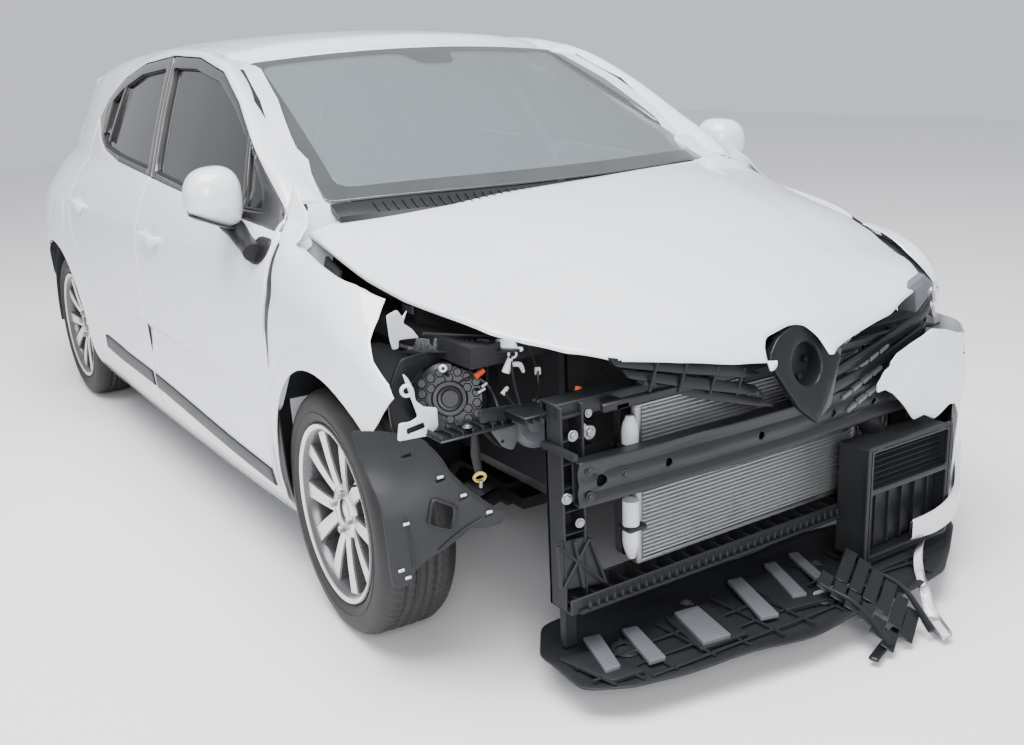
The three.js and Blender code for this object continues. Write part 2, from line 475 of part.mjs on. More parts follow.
const LINER = curve([ // height, then x at half widths 680, 780 and 880: the sheet bends back to the fender at its top
  [110, 445, 420, 390], [200, 455, 430, 400], [300, 465, 435, 405], [400, 470, 436, 400], [480, 466, 426, 380],
  [530, 465, 418, 330], [600, 456, 400, 262],
]);
const LINER_EDGE = [ // [y, z], the torn outline
  [-850, 600], [-700, 600], [-722, 540], [-737, 487], [-667, 422], [-690, 385], [-765, 378], [-815, 330], [-806, 240],
  [-820, 150], [-876, 165], [-880, 300], [-872, 440], [-862, 540],
];
const LINER_WINDOW = [[-806, 470], [-768, 450], [-778, 405], [-822, 425]];
function archLiner() {
  const sheet = (back) => (y, z) => {
    const [inner, middle, outer] = LINER(z);
    const v = (-y - 680) / 200;
    return [inner + (4 * middle - 3 * inner - outer) * v + 2 * (outer + inner - 2 * middle) * v * v - back, y, z];
  };
  const made = between(sheet(0), sheet(8), steps(-880, -660, 5), [110, 200, 300, 400, 480, 530, 600]);
  return cut(made.intersect(alongX(LINER_EDGE, 200, 600)), alongX(LINER_WINDOW, 200, 600));
}
const headlampLeft = () => between(
  (x, y) => [x, y, bonnetTop(x, y) - 30], (x, y) => [x, y, 622], steps(400, 560, 4), steps(592, 700, 4))
  .intersect(alongZ([[402, 590], [550, 590], [520, 650], [450, 690], [402, 696]], 600, 900))
  .add(box(500, 540, 580 + GAP, 594, 630, 650));

// Roof, glass, bonnet and tail
function roofPanel() {
  const slab = between((x, y) => [x, y, roofTop(x, y)], (x, y) => [x, y, roofTop(x, y) - 30], steps(-2875, -985, 8), steps(-620, 620, 8));
  const rear = steps(-1, 1, 6).map((u) => [tailFace(620 * u, 1335) + TAILGATE_T + SHUT, 620 * u]);
  const front = steps(-1, 1, 8).map((u) => [-1000 - 50 * u * u, 620 * u]);
  const leaf = [-1, 1].map((side) => join(
    bar([TAIL_HINGE.x, side * TAIL_HINGE.y, TAIL_HINGE.z], [TAIL_HINGE.x, side * (TAIL_HINGE.y + 16), TAIL_HINGE.z], 5),
    box(TAIL_HINGE.x, TAIL_HINGE.x + 20, ...spanY(side, TAIL_HINGE.y, TAIL_HINGE.y + 16), TAIL_HINGE.z, TAIL_HINGE.z + 5)));
  return join(slab.intersect(interior()).intersect(alongZ([...front, ...rear.reverse()], 1200, 1500)), leaf);
}
function windscreen() {
  const face = (sink) => (u, v) => {
    const [a, b] = [SCREEN.low(u), SCREEN.high(u)];
    const bulge = 14 * Math.sin(Math.PI * v) * (1 - 0.3 * u * u) - sink;
    return [a[0] + (b[0] - a[0]) * v + bulge * 0.39, a[1] + (b[1] - a[1]) * v, a[2] + (b[2] - a[2]) * v + bulge * 0.92];
  };
  return between(face(0), face(6), steps(-1, 1, 12), steps(0, 1, 6)).intersect(interior());
}
function bonnet() {
  const xs = [-345, -250, -120, 0, 120, 240, 340, 430, 500, 550, 600, 640, 665, 685, 700];
  const ys = [-730, -700, -640, -560, -460, -340, -200, -60, 60, 200, 340, 460, 560, 640, 700, 730];
  const slab = between((x, y) => [x, y, bonnetTop(x, y)], (x, y) => [x, y, bonnetTop(x, y) - BONNET_T], xs, ys);
  const rear = steps(-1, 1, 10).map((u) => [-122 - 212 * Math.abs(u) ** 2.2, 700 * u]);
  const side = [[-300, 722], [0, 712], [150, 700], [300, 672], [400, 640], [480, 600], [545, 553], [600, 470], [640, 330], [665, 200], [682, 79]];
  const plan = [...rear, ...side, ...[...side].reverse().map(([x, y]) => [x, -y])];
  return cut(slab.intersect(alongZ(plan, 500, 1100)), box(655, 720, -105, 55, 600, 900));
}
function tailgate() {
  const slab = between((y, z) => [tailFace(y, z), y, z], (y, z) => [tailFace(y, z) + TAILGATE_T, y, z], steps(-600, 600, 8), steps(652, 1335, 8));
  const made = slab.intersect(alongX(tailgateOutline, -3300, -2700));
  const leaf = [-1, 1].map((side) => {
    const [y0, y1] = [TAIL_HINGE.y - 16, TAIL_HINGE.y - GAP];
    return join(bar([TAIL_HINGE.x, side * y0, TAIL_HINGE.z], [TAIL_HINGE.x, side * y1, TAIL_HINGE.z], 5),
      box(TAIL_HINGE.x - 16, TAIL_HINGE.x, ...spanY(side, y0, y1), TAIL_HINGE.z - 12, TAIL_HINGE.z));
  });
  const notch = [-1, 1].map((side) =>
    box(TAIL_HINGE.x - 22, TAIL_HINGE.x + 10, ...spanY(side, TAIL_HINGE.y - GAP, TAIL_HINGE.y + 22), TAIL_HINGE.z - 22, TAIL_HINGE.z));
  return join(cut(made, alongX(TAIL_GLASS, -3300, -2700), notch), leaf);
}
const TAIL_HALF = [[-400, 1290], [-470, 1180], [-500, 1010], [-440, 985]];
const TAIL_GLASS = [...TAIL_HALF, ...[...TAIL_HALF].reverse().map(([y, z]) => [-y, z])];
const tailGlass = () => between((y, z) => [tailFace(y, z) + 8, y, z], (y, z) => [tailFace(y, z) + 13, y, z], steps(-510, 510, 8), steps(980, 1295, 5))
  .intersect(alongX(grow(TAIL_GLASS, -GAP), -3300, -2700));
const tailLamp = (side) => cut(
  sideSlab(side, 0, 90 - GAP, -3190, -2900).intersect(sideCut(LAMP_ZONE, side)).intersect(box(-3160, -2900, -900, 900, 600, 1000)),
  alongX(grow(tailgateOutline, SHUT), -3300, -2700));
function rearBumper() {
  const half = [[-2728, 884], [-2850, 862], [-2990, 818], [-3100, 760], [-3170, 672], [-3200, 520], [-3216, 300], [-3220, 0]];
  const ring = (inset) => {
    const right = half.map(([x, y]) => [x + inset * Math.max((-2728 - x) / 492, 0), y - inset * (1 - Math.max((-3170 - x) / 50, 0) * 0.9)]);
    return [...right, ...right.slice(0, -1).reverse().map(([x, y]) => [x, -y])];
  };
  const shell = alongZ([...ring(0), ...ring(36).reverse()], 235, 640);
  return cut(shell, alongY(archLine(ARCH_REAR, 0, 0, 360, 36), -1000, 1000));
}

// Cabin
function seat(y) {
  const back = new THREE.BoxGeometry(110, 460, 600).rotateY(-0.3).translate(-1330, y, 690);
  const rest = new THREE.BoxGeometry(80, 240, 150).rotateY(-0.2).translate(-1435, y, 1070);
  const post = new THREE.BoxGeometry(24, 120, 120).rotateY(-0.25).translate(-1420, y, 980);
  return join(box(-1260, -760, y - 235, y + 235, 300, 450), box(-1240, -800, y - 200, y + 200, 178 + GAP, 310), solid(back), solid(rest), solid(post));
}
function rearSeat() {
  const back = new THREE.BoxGeometry(110, 1180, 560).rotateY(-0.35).translate(-2230, 0, 730);
  return join(box(-2168, -1720, -610, 610, 301, 450), box(-2250, -2090, -550, 550, 431, 520), solid(back))
    .subtract(box(-3000, -2172, -800, 800, 100, 430 + GAP)).intersect(interior(6, -3000, -500, 160, 1400))
    .add(box(-2160, -1760, -540, -140, 178 + GAP, 310)).add(box(-2160, -1760, 140, 540, 178 + GAP, 310));
}
function dashboard() {
  const section = [[-384 - GAP, 700], [-384 - GAP, 900], [-440, 930], [-640, 940], [-720, 900], [-740, 780], [-620, 690]];
  return alongY(section, -760, 760).intersect(interior()).add(bar([-700, -370, 800], [-790, -370, 845], 32));
}
const WHEEL_HUB = [-812, -370, 856];
const COLUMN_TILT = 0.464; // radians above level
function steeringWheel() {
  const rim = new THREE.TorusGeometry(178, 14, 7, 24);
  const parts = [solid(rim), solid(new THREE.BoxGeometry(34, 340, 16)), solid(new THREE.BoxGeometry(178, 34, 16).translate(-89, 0, 0)),
    solid(new THREE.CylinderGeometry(52, 52, 48.4, 12).rotateX(Math.PI / 2))];
  return join(parts).rotate([0, -90 + (COLUMN_TILT * 180) / Math.PI, 0]).translate(WHEEL_HUB);
}
const exhaust = () => join(bar([-430, 30, 215], [-2150, 30, 215], 26), bar([-2145, 30, 215], [-2300, 30, 200], 26),
  bar([-2295, 30, 200], [-2700, -260, 190], 26), box(-3060, -2690, -390, -150, 140, 222),
  box(-1500, -1480, 20, 40, 215, 286 - GAP), box(-2900, -2880, -280, -260, 200, 236 - GAP));
const engine = () => join(box(-200, 230, -320, 120, 260, 740), box(-170, 190, 110, 340, 270, 560), box(-60, 60, -200, 60, 730, 800),
  box(-120, -40, -280, -200, 250 + GAP, 265), box(-120, -40, 120, 200, 250 + GAP, 275));
const radiator = () => join(box(505, 545, -380, 350, 240, 616), box(510, 530, -300, -260, 232 + GAP, 244), box(510, 530, 260, 300, 232 + GAP, 244));

for (const side of [-1, 1]) {
  const at = side < 0 ? "right" : "left";
  add("body_side_" + at, bodyFrame(side), PAINT);
  add("fender_" + at, fender(side), PAINT);
  add("door_front_" + at, cut(door(side, DOOR_FRONT, GLASS_FRONT, HINGE_FRONT, -1190, 842), doorNose(side), doorTail(side)), PAINT);
  add("door_front_glass_" + at, doorPane(side, GLASS_FRONT), GLASS);
  add("mirror_" + at, mirror(side), BLACK);
  add("door_rear_" + at, door(side, DOOR_REAR, GLASS_REAR, HINGE_REAR, -2150, 862), PAINT);
  add("door_rear_glass_" + at, doorPane(side, GLASS_REAR), GLASS);
  add("tail_lamp_" + at, tailLamp(side), RED_LENS);
  add("seat_front_" + at, seat(side * 370), CLOTH);
}
for (const [tag, x, plane, side, steer] of WHEELS) {
  const front = x > -1000;
  // the wheel turns with its knuckle about the leaning king pin
  const lean = Math.atan2(KING_LOW[0] - KING_TOP[0], KING_TOP[1] - KING_LOW[1]) * side;
  const pivot = new THREE.Group();
  pivot.position.set(x, front ? side * KING_LOW[0] : side * plane, front ? KING_LOW[1] : TYRE_R);
  const axis = new THREE.Vector3(0, -Math.sin(lean), Math.cos(lean));
  pivot.quaternion.setFromAxisAngle(axis, (steer * Math.PI) / 180);
  car.add(pivot);
  const inner = new THREE.Group();
  inner.position.set(0, side * plane - pivot.position.y, TYRE_R - pivot.position.z);
  inner.rotation.z = side > 0 ? Math.PI : 0;
  pivot.add(inner);
  add("rim_" + tag, wheelRim(), ALLOY, inner);
  add("tyre_" + tag, wheelTyre(), RUBBER, inner);
  if (front) {
    const mesh = new THREE.Mesh(geometryOf(knuckle(side)), STEEL);
    mesh.name = "knuckle_" + (side < 0 ? "right" : "left");
    mesh.position.set(-pivot.position.x, -pivot.position.y, -pivot.position.z);
    pivot.add(mesh);
  }
}
const FIXED = [
  ["roof", roofPanel, PAINT], ["windscreen", windscreen, GLASS], ["bonnet", bonnet, PAINT], ["tailgate", tailgate, PAINT],
  ["tailgate_glass", tailGlass, GLASS], ["bumper_rear", rearBumper, PAINT], ["floor_pan", floorPan, STRUCTURE],
  ["engine_bay", engineBay, STRUCTURE], ["subframe_front", subframe, STEEL], ["axle_rear", rearAxle, STEEL],
  ["engine", engine, STEEL], ["radiator", radiator, CORE], ["front_carrier", frontCarrier, BLACK],
  ["crash_beam", crashBeam, STRUCTURE], ["grille_remains", grille, BLACK], ["bumper_remnant_left", bumperRemnant, PAINT],
  ["air_duct", ductBox, BLACK], ["undertray", undertray, BLACK], ["arch_liner_right", archLiner, BLACK],
  ["headlamp_left", headlampLeft, LENS], ["seat_rear", rearSeat, CLOTH], ["dashboard", dashboard, BLACK],
  ["steering_wheel", steeringWheel, BLACK], ["exhaust", exhaust, STEEL],
];
for (const [name, make, material] of FIXED) add(name, make(), material);

export default car;
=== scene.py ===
"""A white five-door hatchback after a front-end crash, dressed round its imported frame.
Shapes are worked out in millimetres in the front axle's own frame (x forward, y to the car's left, z up)
and placed in the row frame, in metres, when their mesh is made."""
import math

import bmesh
import bpy
import numpy as np
from mathutils import Matrix, Vector, geometry


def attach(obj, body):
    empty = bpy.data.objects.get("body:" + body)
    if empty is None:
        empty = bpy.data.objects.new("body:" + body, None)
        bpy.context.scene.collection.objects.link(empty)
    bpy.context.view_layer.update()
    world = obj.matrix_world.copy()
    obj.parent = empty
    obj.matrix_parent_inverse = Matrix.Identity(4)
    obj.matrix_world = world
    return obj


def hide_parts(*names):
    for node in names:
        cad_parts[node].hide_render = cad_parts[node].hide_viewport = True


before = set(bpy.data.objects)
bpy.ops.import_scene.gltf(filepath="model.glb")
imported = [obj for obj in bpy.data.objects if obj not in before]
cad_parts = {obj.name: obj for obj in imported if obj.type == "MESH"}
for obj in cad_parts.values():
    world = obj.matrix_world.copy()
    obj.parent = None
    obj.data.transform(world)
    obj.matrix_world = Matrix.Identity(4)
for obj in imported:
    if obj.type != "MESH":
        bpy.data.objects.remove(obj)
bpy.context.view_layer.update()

AXLE = np.array([1130.0, 0.0, 0.0])  # the front axle in the row frame
RIGHT, LEFT = -1, 1
SIDES = ((RIGHT, "right"), (LEFT, "left"))


# ---------------------------------------------------------------- arrays and meshes
def xyz(*parts):
    """Coordinates set side by side along one last axis."""
    return np.stack(parts, -1)


def curve(rows):
    """Smooth curve through a table: cubic pieces whose slope at a row is the mean of its neighbours' slopes,
    none at a peak."""
    rows = np.asarray(rows, float)
    t, v = rows[:, 0], rows[:, 1:]
    slope = np.diff(v, axis=0) / np.diff(t)[:, None]
    tangent = np.vstack([slope[:1], (slope[:-1] + slope[1:]) / 2, slope[-1:]])
    tangent[1:-1][slope[:-1] * slope[1:] <= 0] = 0

    def at(q):
        q = np.clip(np.asarray(q, float), t[0], t[-1])
        i = np.clip(np.searchsorted(t, q, side="right") - 1, 0, len(t) - 2)
        h = (t[i + 1] - t[i])[..., None]
        u = (q - t[i])[..., None] / h
        value = (2 * u**3 - 3 * u**2 + 1) * v[i] + (u**3 - 2 * u**2 + u) * h * tangent[i]
        value = value + (-2 * u**3 + 3 * u**2) * v[i + 1] + (u**3 - u**2) * h * tangent[i + 1]
        return np.moveaxis(value, -1, 0)

    return at


def smooth(q, low, high):
    """0 below low, 1 above high, a smooth cubic between."""
    t = np.clip((np.asarray(q, float) - low) / (high - low), 0, 1)
    return t * t * (3 - 2 * t)


def unit(v):
    v = np.asarray(v, float)
    return v / np.linalg.norm(v, axis=-1, keepdims=True)


def grid(points, wrap_u=False, wrap_v=False):
    """Quads over a (rows, columns, 3) array of points, closed along either way if asked."""
    points = np.asarray(points, float)
    rows, columns = points.shape[:2]
    i, j = np.meshgrid(np.arange(rows - (not wrap_u)), np.arange(columns - (not wrap_v)), indexing="ij")
    k, m = (i + 1) % rows, (j + 1) % columns
    quads = xyz(i * columns + j, k * columns + j, k * columns + m, i * columns + m).reshape(-1, 4)
    return points.reshape(-1, 3), quads.tolist()


def capped(rings):
    """A closed solid through rings of points: quads between the rings, one face over each end."""
    points, faces = grid(rings, wrap_v=True)
    count = np.asarray(rings).shape[1]
    last = len(points) - count
    return points, faces + [list(range(count))] + [list(range(last, last + count))[::-1]]


def gather(*pieces):
    """Several (points, faces) as one."""
    points, faces, start = [], [], 0
    for p, f in pieces:
        points.append(np.asarray(p, float))
        faces += [[a + start for a in face] for face in f]
        start += len(p)
    return np.vstack(points), faces


def moved(piece, matrix=None, offset=(0, 0, 0)):
    points = np.asarray(piece[0], float)
    if matrix is not None:
        points = points @ np.asarray(matrix, float).T
    return points + np.asarray(offset, float), piece[1]


def turn(axis, degrees):
    return np.array(Matrix.Rotation(math.radians(degrees), 3, Vector(axis)))


def put(name, piece, material, body="body", replaces=(), sharp=32, recalc=True,
        weld=0.0):
    """Makes the mesh of a piece in the row frame, in metres, with its material and body."""
    points, faces = piece
    mesh = bpy.data.meshes.new(name)
    mesh.from_pydata(((np.asarray(points) + AXLE) * 0.001).tolist(), [], faces)
    if recalc or weld:
        made = bmesh.new()
        made.from_mesh(mesh)
        if weld:
            bmesh.ops.remove_doubles(made, verts=made.verts, dist=weld * 0.001)
        if recalc:
            bmesh.ops.recalc_face_normals(made, faces=made.faces)
        made.to_mesh(mesh)
        made.free()
    mesh.polygons.foreach_set("use_smooth", np.ones(len(mesh.polygons), bool))
    mesh.set_sharp_from_angle(angle=math.radians(sharp))
    mesh.materials.append(material)
    mesh.update()
    thing = bpy.data.objects.new(name, mesh)
    bpy.context.scene.collection.objects.link(thing)
    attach(thing, body)
    if replaces:
        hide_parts(*([replaces] if isinstance(replaces, str) else replaces))
    return thing


# ---------------------------------------------------------------- flat outlines
def dense(loop, step):
    """Extra points along a closed outline, so that no edge is longer than step."""
    loop = np.asarray(loop, float)
    ahead = np.roll(loop, -1, axis=0)
    count = np.maximum(np.ceil(np.linalg.norm(ahead - loop, axis=1) / step).astype(int), 1)
    owner = np.repeat(np.arange(len(loop)), count)
    along = (np.arange(count.sum()) - np.repeat(np.cumsum(count) - count, count)) / np.repeat(count, count)
    return loop[owner] + (ahead - loop)[owner] * along[:, None]


def grow(loop, d):
    """A closed outline moved outwards by d along the mean of its edges' normals."""
    loop = np.asarray(loop, float)
    edge = np.roll(loop, -1, axis=0) - loop
    normal = unit(xyz(edge[:, 1], -edge[:, 0]))
    area = np.sum(loop[:, 0] * np.roll(loop[:, 1], -1) - loop[:, 1] * np.roll(loop[:, 0], -1))
    before = np.roll(normal, 1, axis=0)
    k = np.clip(1 + np.sum(before * normal, axis=1), 0.35, None)
    return loop + (before + normal) * (d * np.sign(area) / k)[:, None]


def rounded(loop, radius=10, count=4):
    """An outline with each corner replaced by a short arc: a parabola between points set back along both
    edges."""
    loop = np.asarray(loop, float)
    radius = np.broadcast_to(radius, len(loop))[:, None]
    back, ahead = np.roll(loop, 1, axis=0) - loop, np.roll(loop, -1, axis=0) - loop
    reach = np.minimum(radius, 0.45 * np.minimum(np.linalg.norm(back, axis=1),
        np.linalg.norm(ahead, axis=1))[:, None])
    a, b = loop + unit(back) * reach, loop + unit(ahead) * reach
    t = np.linspace(0, 1, count)[None, :, None]
    arcs = a[:, None] * (1 - t) ** 2 + loop[:, None] * 2 * t * (1 - t) + b[:, None] * t**2
    return arcs.reshape(-1, 2)


def segments(loops):
    starts = np.vstack(loops)
    ends = np.vstack([np.roll(loop, -1, axis=0) for loop in loops])
    return starts, ends


def contains(points, loops):
    """Whether each point is inside: it has an odd count of outline edges to its right."""
    a, b = segments(loops)
    px, py = points[:, 0, None], points[:, 1, None]
    crosses = (a[:, 1] > py) != (b[:, 1] > py)
    rise = np.where(b[:, 1] == a[:, 1], 1e-9, b[:, 1] - a[:, 1])
    at = a[:, 0] + (py - a[:, 1]) * (b[:, 0] - a[:, 0]) / rise
    return np.sum(crosses & (px < at), axis=1) % 2 == 1


def edge_distance(points, loops):
    """Distance from each point to the nearest outline edge."""
    a, b = segments(loops)
    best = np.full(len(points), 1e9)
    for first in range(0, len(points), 4000):
        p = points[first:first + 4000, None]
        t = np.clip(np.sum((p - a) * (b - a), -1) / np.maximum(np.sum((b - a) ** 2, -1), 1e-9), 0, 1)
        best[first:first + 4000] = np.linalg.norm(p - a - (b - a) * t[..., None], axis=-1).min(axis=1)
    return best


def fill(loops, step, roll):
    """Triangles over a flat region: rows of points a step apart, rings of points beside its outlines, joined
    by Delaunay."""
    loops = [dense(loop, step) for loop in loops]
    every = np.vstack(loops)
    low, high = every.min(0), every.max(0)
    x, y = np.meshgrid(np.arange(low[0], high[0], step), np.arange(low[1], high[1], step * 0.866))
    x = x + (np.arange(x.shape[0]) % 2)[:, None] * step / 2
    inner = xyz(x.ravel(), y.ravel())
    free = [inner[contains(inner, loops)]]
    free[0] = free[0][edge_distance(free[0], loops) > roll + 0.45 * step]
    for offset in (roll * 0.12, roll * 0.4, roll) if roll else ():
        for way in (-1, 1):
            for loop in loops:
                ring = grow(loop, way * offset)
                ring = ring[contains(ring, loops)]
                if len(ring):
                    free.append(ring[edge_distance(ring, loops) > 0.93 * offset])
    points = np.vstack([every] + free)
    links, start = [], 0
    for loop in loops:
        count = len(loop)
        links += [(start + i, start + (i + 1) % count) for i in range(count)]
        start += count
    found = geometry.delaunay_2d_cdt(points.tolist(), links, [], 0, 1e-4)
    points = np.array([tuple(p) for p in found[0]], float)
    triangles = np.array([list(f) for f in found[2]], int)
    keep = contains(points[triangles].mean(axis=1), loops)
    return points, triangles[keep], edge_distance(points, loops)


def plate(loops, surface, near, far, step=24, roll=4.0, rolled=None):
    """A closed plate between two depths under a surface, its outer edges rolled over by a quarter circle
    where rolled is 1."""
    points, triangles, edge = fill([np.asarray(loop, float) for loop in loops], step, roll)
    drop = roll - np.sqrt(np.maximum(roll**2 - (roll - np.minimum(edge, roll)) ** 2, 0)) if roll else 0 * edge
    a, b = points.T
    if rolled is not None:
        drop = drop * rolled(a, b)
    top = surface(a, b, near + drop)
    bottom = surface(a, b, far + 0 * drop)
    count = len(points)
    edges = np.vstack([triangles[:, [0, 1]], triangles[:, [1, 2]], triangles[:, [2, 0]]])
    code = edges[:, 0] * count + edges[:, 1]
    border = edges[~np.isin(code, edges[:, 1] * count + edges[:, 0])]
    walls = xyz(border[:, 1], border[:, 0], border[:, 0] + count, border[:, 1] + count)
    return np.vstack([top, bottom]), triangles.tolist() + (triangles[:,
        ::-1] + count).tolist() + walls.tolist()


def prism(loop, low, high, bevel=1.0):
    """An outline run up from low to high, with a chamfer round both ends."""
    loop = np.asarray(loop, float)
    inset = grow(loop, -bevel)
    rings = [(inset, low), (loop, low + bevel), (loop, high - bevel), (inset, high)]
    return capped([np.column_stack([ring, np.full(len(ring), h)]) for ring, h in rings])


def brick(x0, x1, y0, y1, z0, z1, bevel=2.0):
    """A box with chamfered edges."""
    b = min(bevel, 0.45 * (x1 - x0), 0.45 * (y1 - y0), 0.45 * (z1 - z0))
    loop = [[x0 + b, y0], [x1 - b, y0], [x1, y0 + b], [x1, y1 - b], [x1 - b, y1], [x0 + b, y1], [x0, y1 - b],
        [x0, y0 + b]]
    return prism(loop, z0, z1, b)


def rod(start, end, radius, radius_end=None, count=14, bevel=0.8):
    """A round bar between two points, each end chamfered."""
    a, b = np.asarray(start, float), np.asarray(end, float)
    r0, r1 = radius, radius if radius_end is None else radius_end
    axis = unit(b - a)
    side = unit(np.cross(axis, [0, 0, 1] if abs(axis[2]) < 0.9 else [1, 0, 0]))
    up = np.cross(side, axis)
    angle = np.linspace(0, 2 * np.pi, count, endpoint=False)[:, None]
    ring = np.cos(angle) * side + np.sin(angle) * up
    rings = [a + ring * (r0 - bevel), a + axis * bevel + ring * r0, b - axis * bevel + ring * r1,
        b + ring * (r1 - bevel)]
    return capped(rings)


def tube(path, radius, count=10, samples=8, flat=1.0):
    """A round bar along a smooth path: rings square to the path, carried on without twist."""
    path = np.asarray(path, float)
    t = np.arange(len(path))
    q = np.linspace(0, len(path) - 1, (len(path) - 1) * samples + 1)
    line = np.stack(curve(np.column_stack([t, path]))(q),
        -1) if len(path) > 2 else path[0] + (path[1] - path[0]) * q[:, None]
    along = unit(np.gradient(line, axis=0))
    side = np.zeros_like(line)
    side[0] = unit(np.cross(along[0], [0, 0, 1] if abs(along[0, 2]) < 0.9 else [1, 0, 0]))
    for i in range(1, len(line)):
        side[i] = unit(side[i - 1] - along[i] * (side[i - 1] @ along[i]))
    up = np.cross(side, along)
    angle = np.linspace(0, 2 * np.pi, count, endpoint=False)[None, :, None]
    width = np.interp(q, t, np.broadcast_to(radius, len(path)))[:, None, None]
    rings = line[:, None] + (np.cos(angle) * side[:, None] + np.sin(angle) * up[:, None] * flat) * width
    return capped(rings)


def lathe(profile, count=48, closed=True, wobble=None):
    """A profile of [radius, along y] turned about the y axis; wobble adds to the radius at each angle and
    point."""
    profile = np.asarray(profile, float)
    angle = np.linspace(0, 2 * np.pi, count, endpoint=False)[:, None]
    r, y = profile[None, :, 0], profile[None, :, 1]
    if wobble is not None:
        r = r + wobble(angle, y, r)
    points = xyz(r * np.sin(angle), y + 0 * angle, r * np.cos(angle))
    return grid(points, wrap_u=True, wrap_v=closed)


def disc(profile, count=32):
    """A solid of revolution about y whose profile starts and ends on the axis."""
    profile = np.asarray(profile, float)
    angle = np.linspace(0, 2 * np.pi, count, endpoint=False)
    rings = xyz(np.outer(profile[:, 0], np.sin(angle)), np.repeat(profile[:, 1:2], count, 1),
                      np.outer(profile[:, 0], np.cos(angle)))
    return capped(rings)


def facing(direction):
    """A turn that takes the minus y axis to a direction."""
    back = -unit(direction)
    side = unit(np.cross(back, [0, 0, 1] if abs(back[2]) < 0.9 else [1, 0, 0]))
    return np.column_stack([side, back, np.cross(side, back)])


def bolt(place, direction, size=8.0):
    """A hexagon head on a flanged washer, pointing along a direction."""
    head = disc([[0.1, 0], [size * 0.9, 0], [size, -size * 0.12], [size, -size * 0.6],
        [size * 0.86, -size * 0.75], [0.1, -size * 0.75]], 6)
    washer = disc([[0.1, 0], [size * 1.5, 0], [size * 1.6, -size * 0.08], [size * 1.5, -size * 0.22],
        [0.1, -size * 0.26]], 20)
    return moved(gather(head, washer), facing(direction), place)


def cushion(size, square=0.35, rows=28, shape=None):
    """A crowned pad: a rounded box whose coordinates are signed powers of a sphere's, optionally reshaped by
    a function."""
    e = square
    lat = np.linspace(-np.pi / 2, np.pi / 2, rows + 1)[:, None]
    lon = np.linspace(0, 2 * np.pi, rows * 2, endpoint=False)[None, :]
    power = lambda v, k: np.sign(v) * np.abs(v) ** k
    p = xyz(power(np.cos(lat), e) * power(np.cos(lon), e), power(np.cos(lat), e) * power(np.sin(lon), e),
                  power(np.sin(lat), e) + 0 * lon)
    p = p * np.asarray(size, float) / 2
    if shape is not None:
        p = shape(p)
    points, faces = grid(p, wrap_v=True)
    return points, faces


# ---------------------------------------------------------------- the body's surfaces
WIDEST = curve([[-3215, 540], [-3190, 640], [-3120, 742], [-3000, 812], [-2850, 858], [-2583, 888],
    [-2200, 884], [-1300, 882],
                [-700, 876], [-300, 866], [0, 874], [250, 868], [400, 838], [520, 785], [620, 705],
                [720, 580]])
SHOULDER = curve([  # x, where the side starts to turn in, top height, half width there, sharpness
    [-3215, 700, 1015, 560, 2.4], [-2900, 700, 1015, 665, 2.4], [-2600, 700, 1015, 722, 2.5],
        [-2350, 700, 1015, 752, 2.6],
    [-2100, 700, 1015, 776, 2.6], [-1300, 700, 1015, 801, 2.6], [-1000, 700, 1015, 800, 2.6],
        [-600, 700, 1015, 788, 2.7],
    [-330, 700, 975, 765, 3], [0, 690, 925, 748, 3.4], [146, 665, 868, 742, 3.8], [360, 600, 760, 660, 4]])
TUCK = curve([[120, 110], [180, 66], [230, 34], [300, 16], [400, 8], [550, 1], [700, 0]])
FRONT_ARCH = dict(x=0, z=308, ahead=382, behind=318, high=356)
REAR_ARCH = dict(x=-2583, z=308, ahead=364, behind=364, high=364)
BONNET_LINE = curve([[-340, 1034], [-150, 1012], [0, 985], [200, 938], [400, 872], [560, 806], [650, 752],
    [676, 721], [700, 685]])
BONNET_EDGE = curve([[-330, 722, 62, 0.041], [0, 712, 103, 0.032], [200, 688, 92, 0.023], [400, 650, 68, 0],
    [560, 560, 14, 0],
                     [700, 480, 8, 0]])
ROOF_LINE = curve([[-3000, 1338], [-2800, 1368], [-2300, 1420], [-1800, 1440], [-1400, 1436], [-1100, 1414],
    [-930, 1386]])
TAIL_LINE = curve([[620, -3188], [760, -3196], [900, -3170], [1000, -3128], [1100, -3072], [1230, -2985],
    [1345, -2905]])
DOOR_CREASE = curve([[-2040, 330], [-1990, 392], [-1900, 428], [-1771, 468], [-1650, 512], [-1532, 537],
    [-1238, 547],
                     [-745, 540], [-329, 540]])  # x, height of the crease pressed low along the doors
TRIM_TOP = curve([[-1993, 379], [-1337, 372], [-385,
    312]])  # x, upper edge of the black strip low on the doors


def side_half(x, z):
    """Half width of the body: widest width less the tuck below and a power of how far up the shoulder the
    height is."""
    start, top, top_half, sharp = SHOULDER(x)
    t = np.clip((z - start) / (top - start), 0, 1)
    above = np.maximum(z - top, 0)
    wide = WIDEST(x)[0]
    return wide - TUCK(z)[0] - (wide - top_half) * t**sharp - above * 0.4 - above**2 * 0.00013


def arch_out(x, z, arch):
    """How far a point lies outside an arch's lip, measured on its ellipse."""
    wide = np.where(x > arch["x"], arch["ahead"], arch["behind"])
    return (np.hypot((x - arch["x"]) / wide, (z - arch["z"]) / arch["high"]) - 1) * arch["high"]


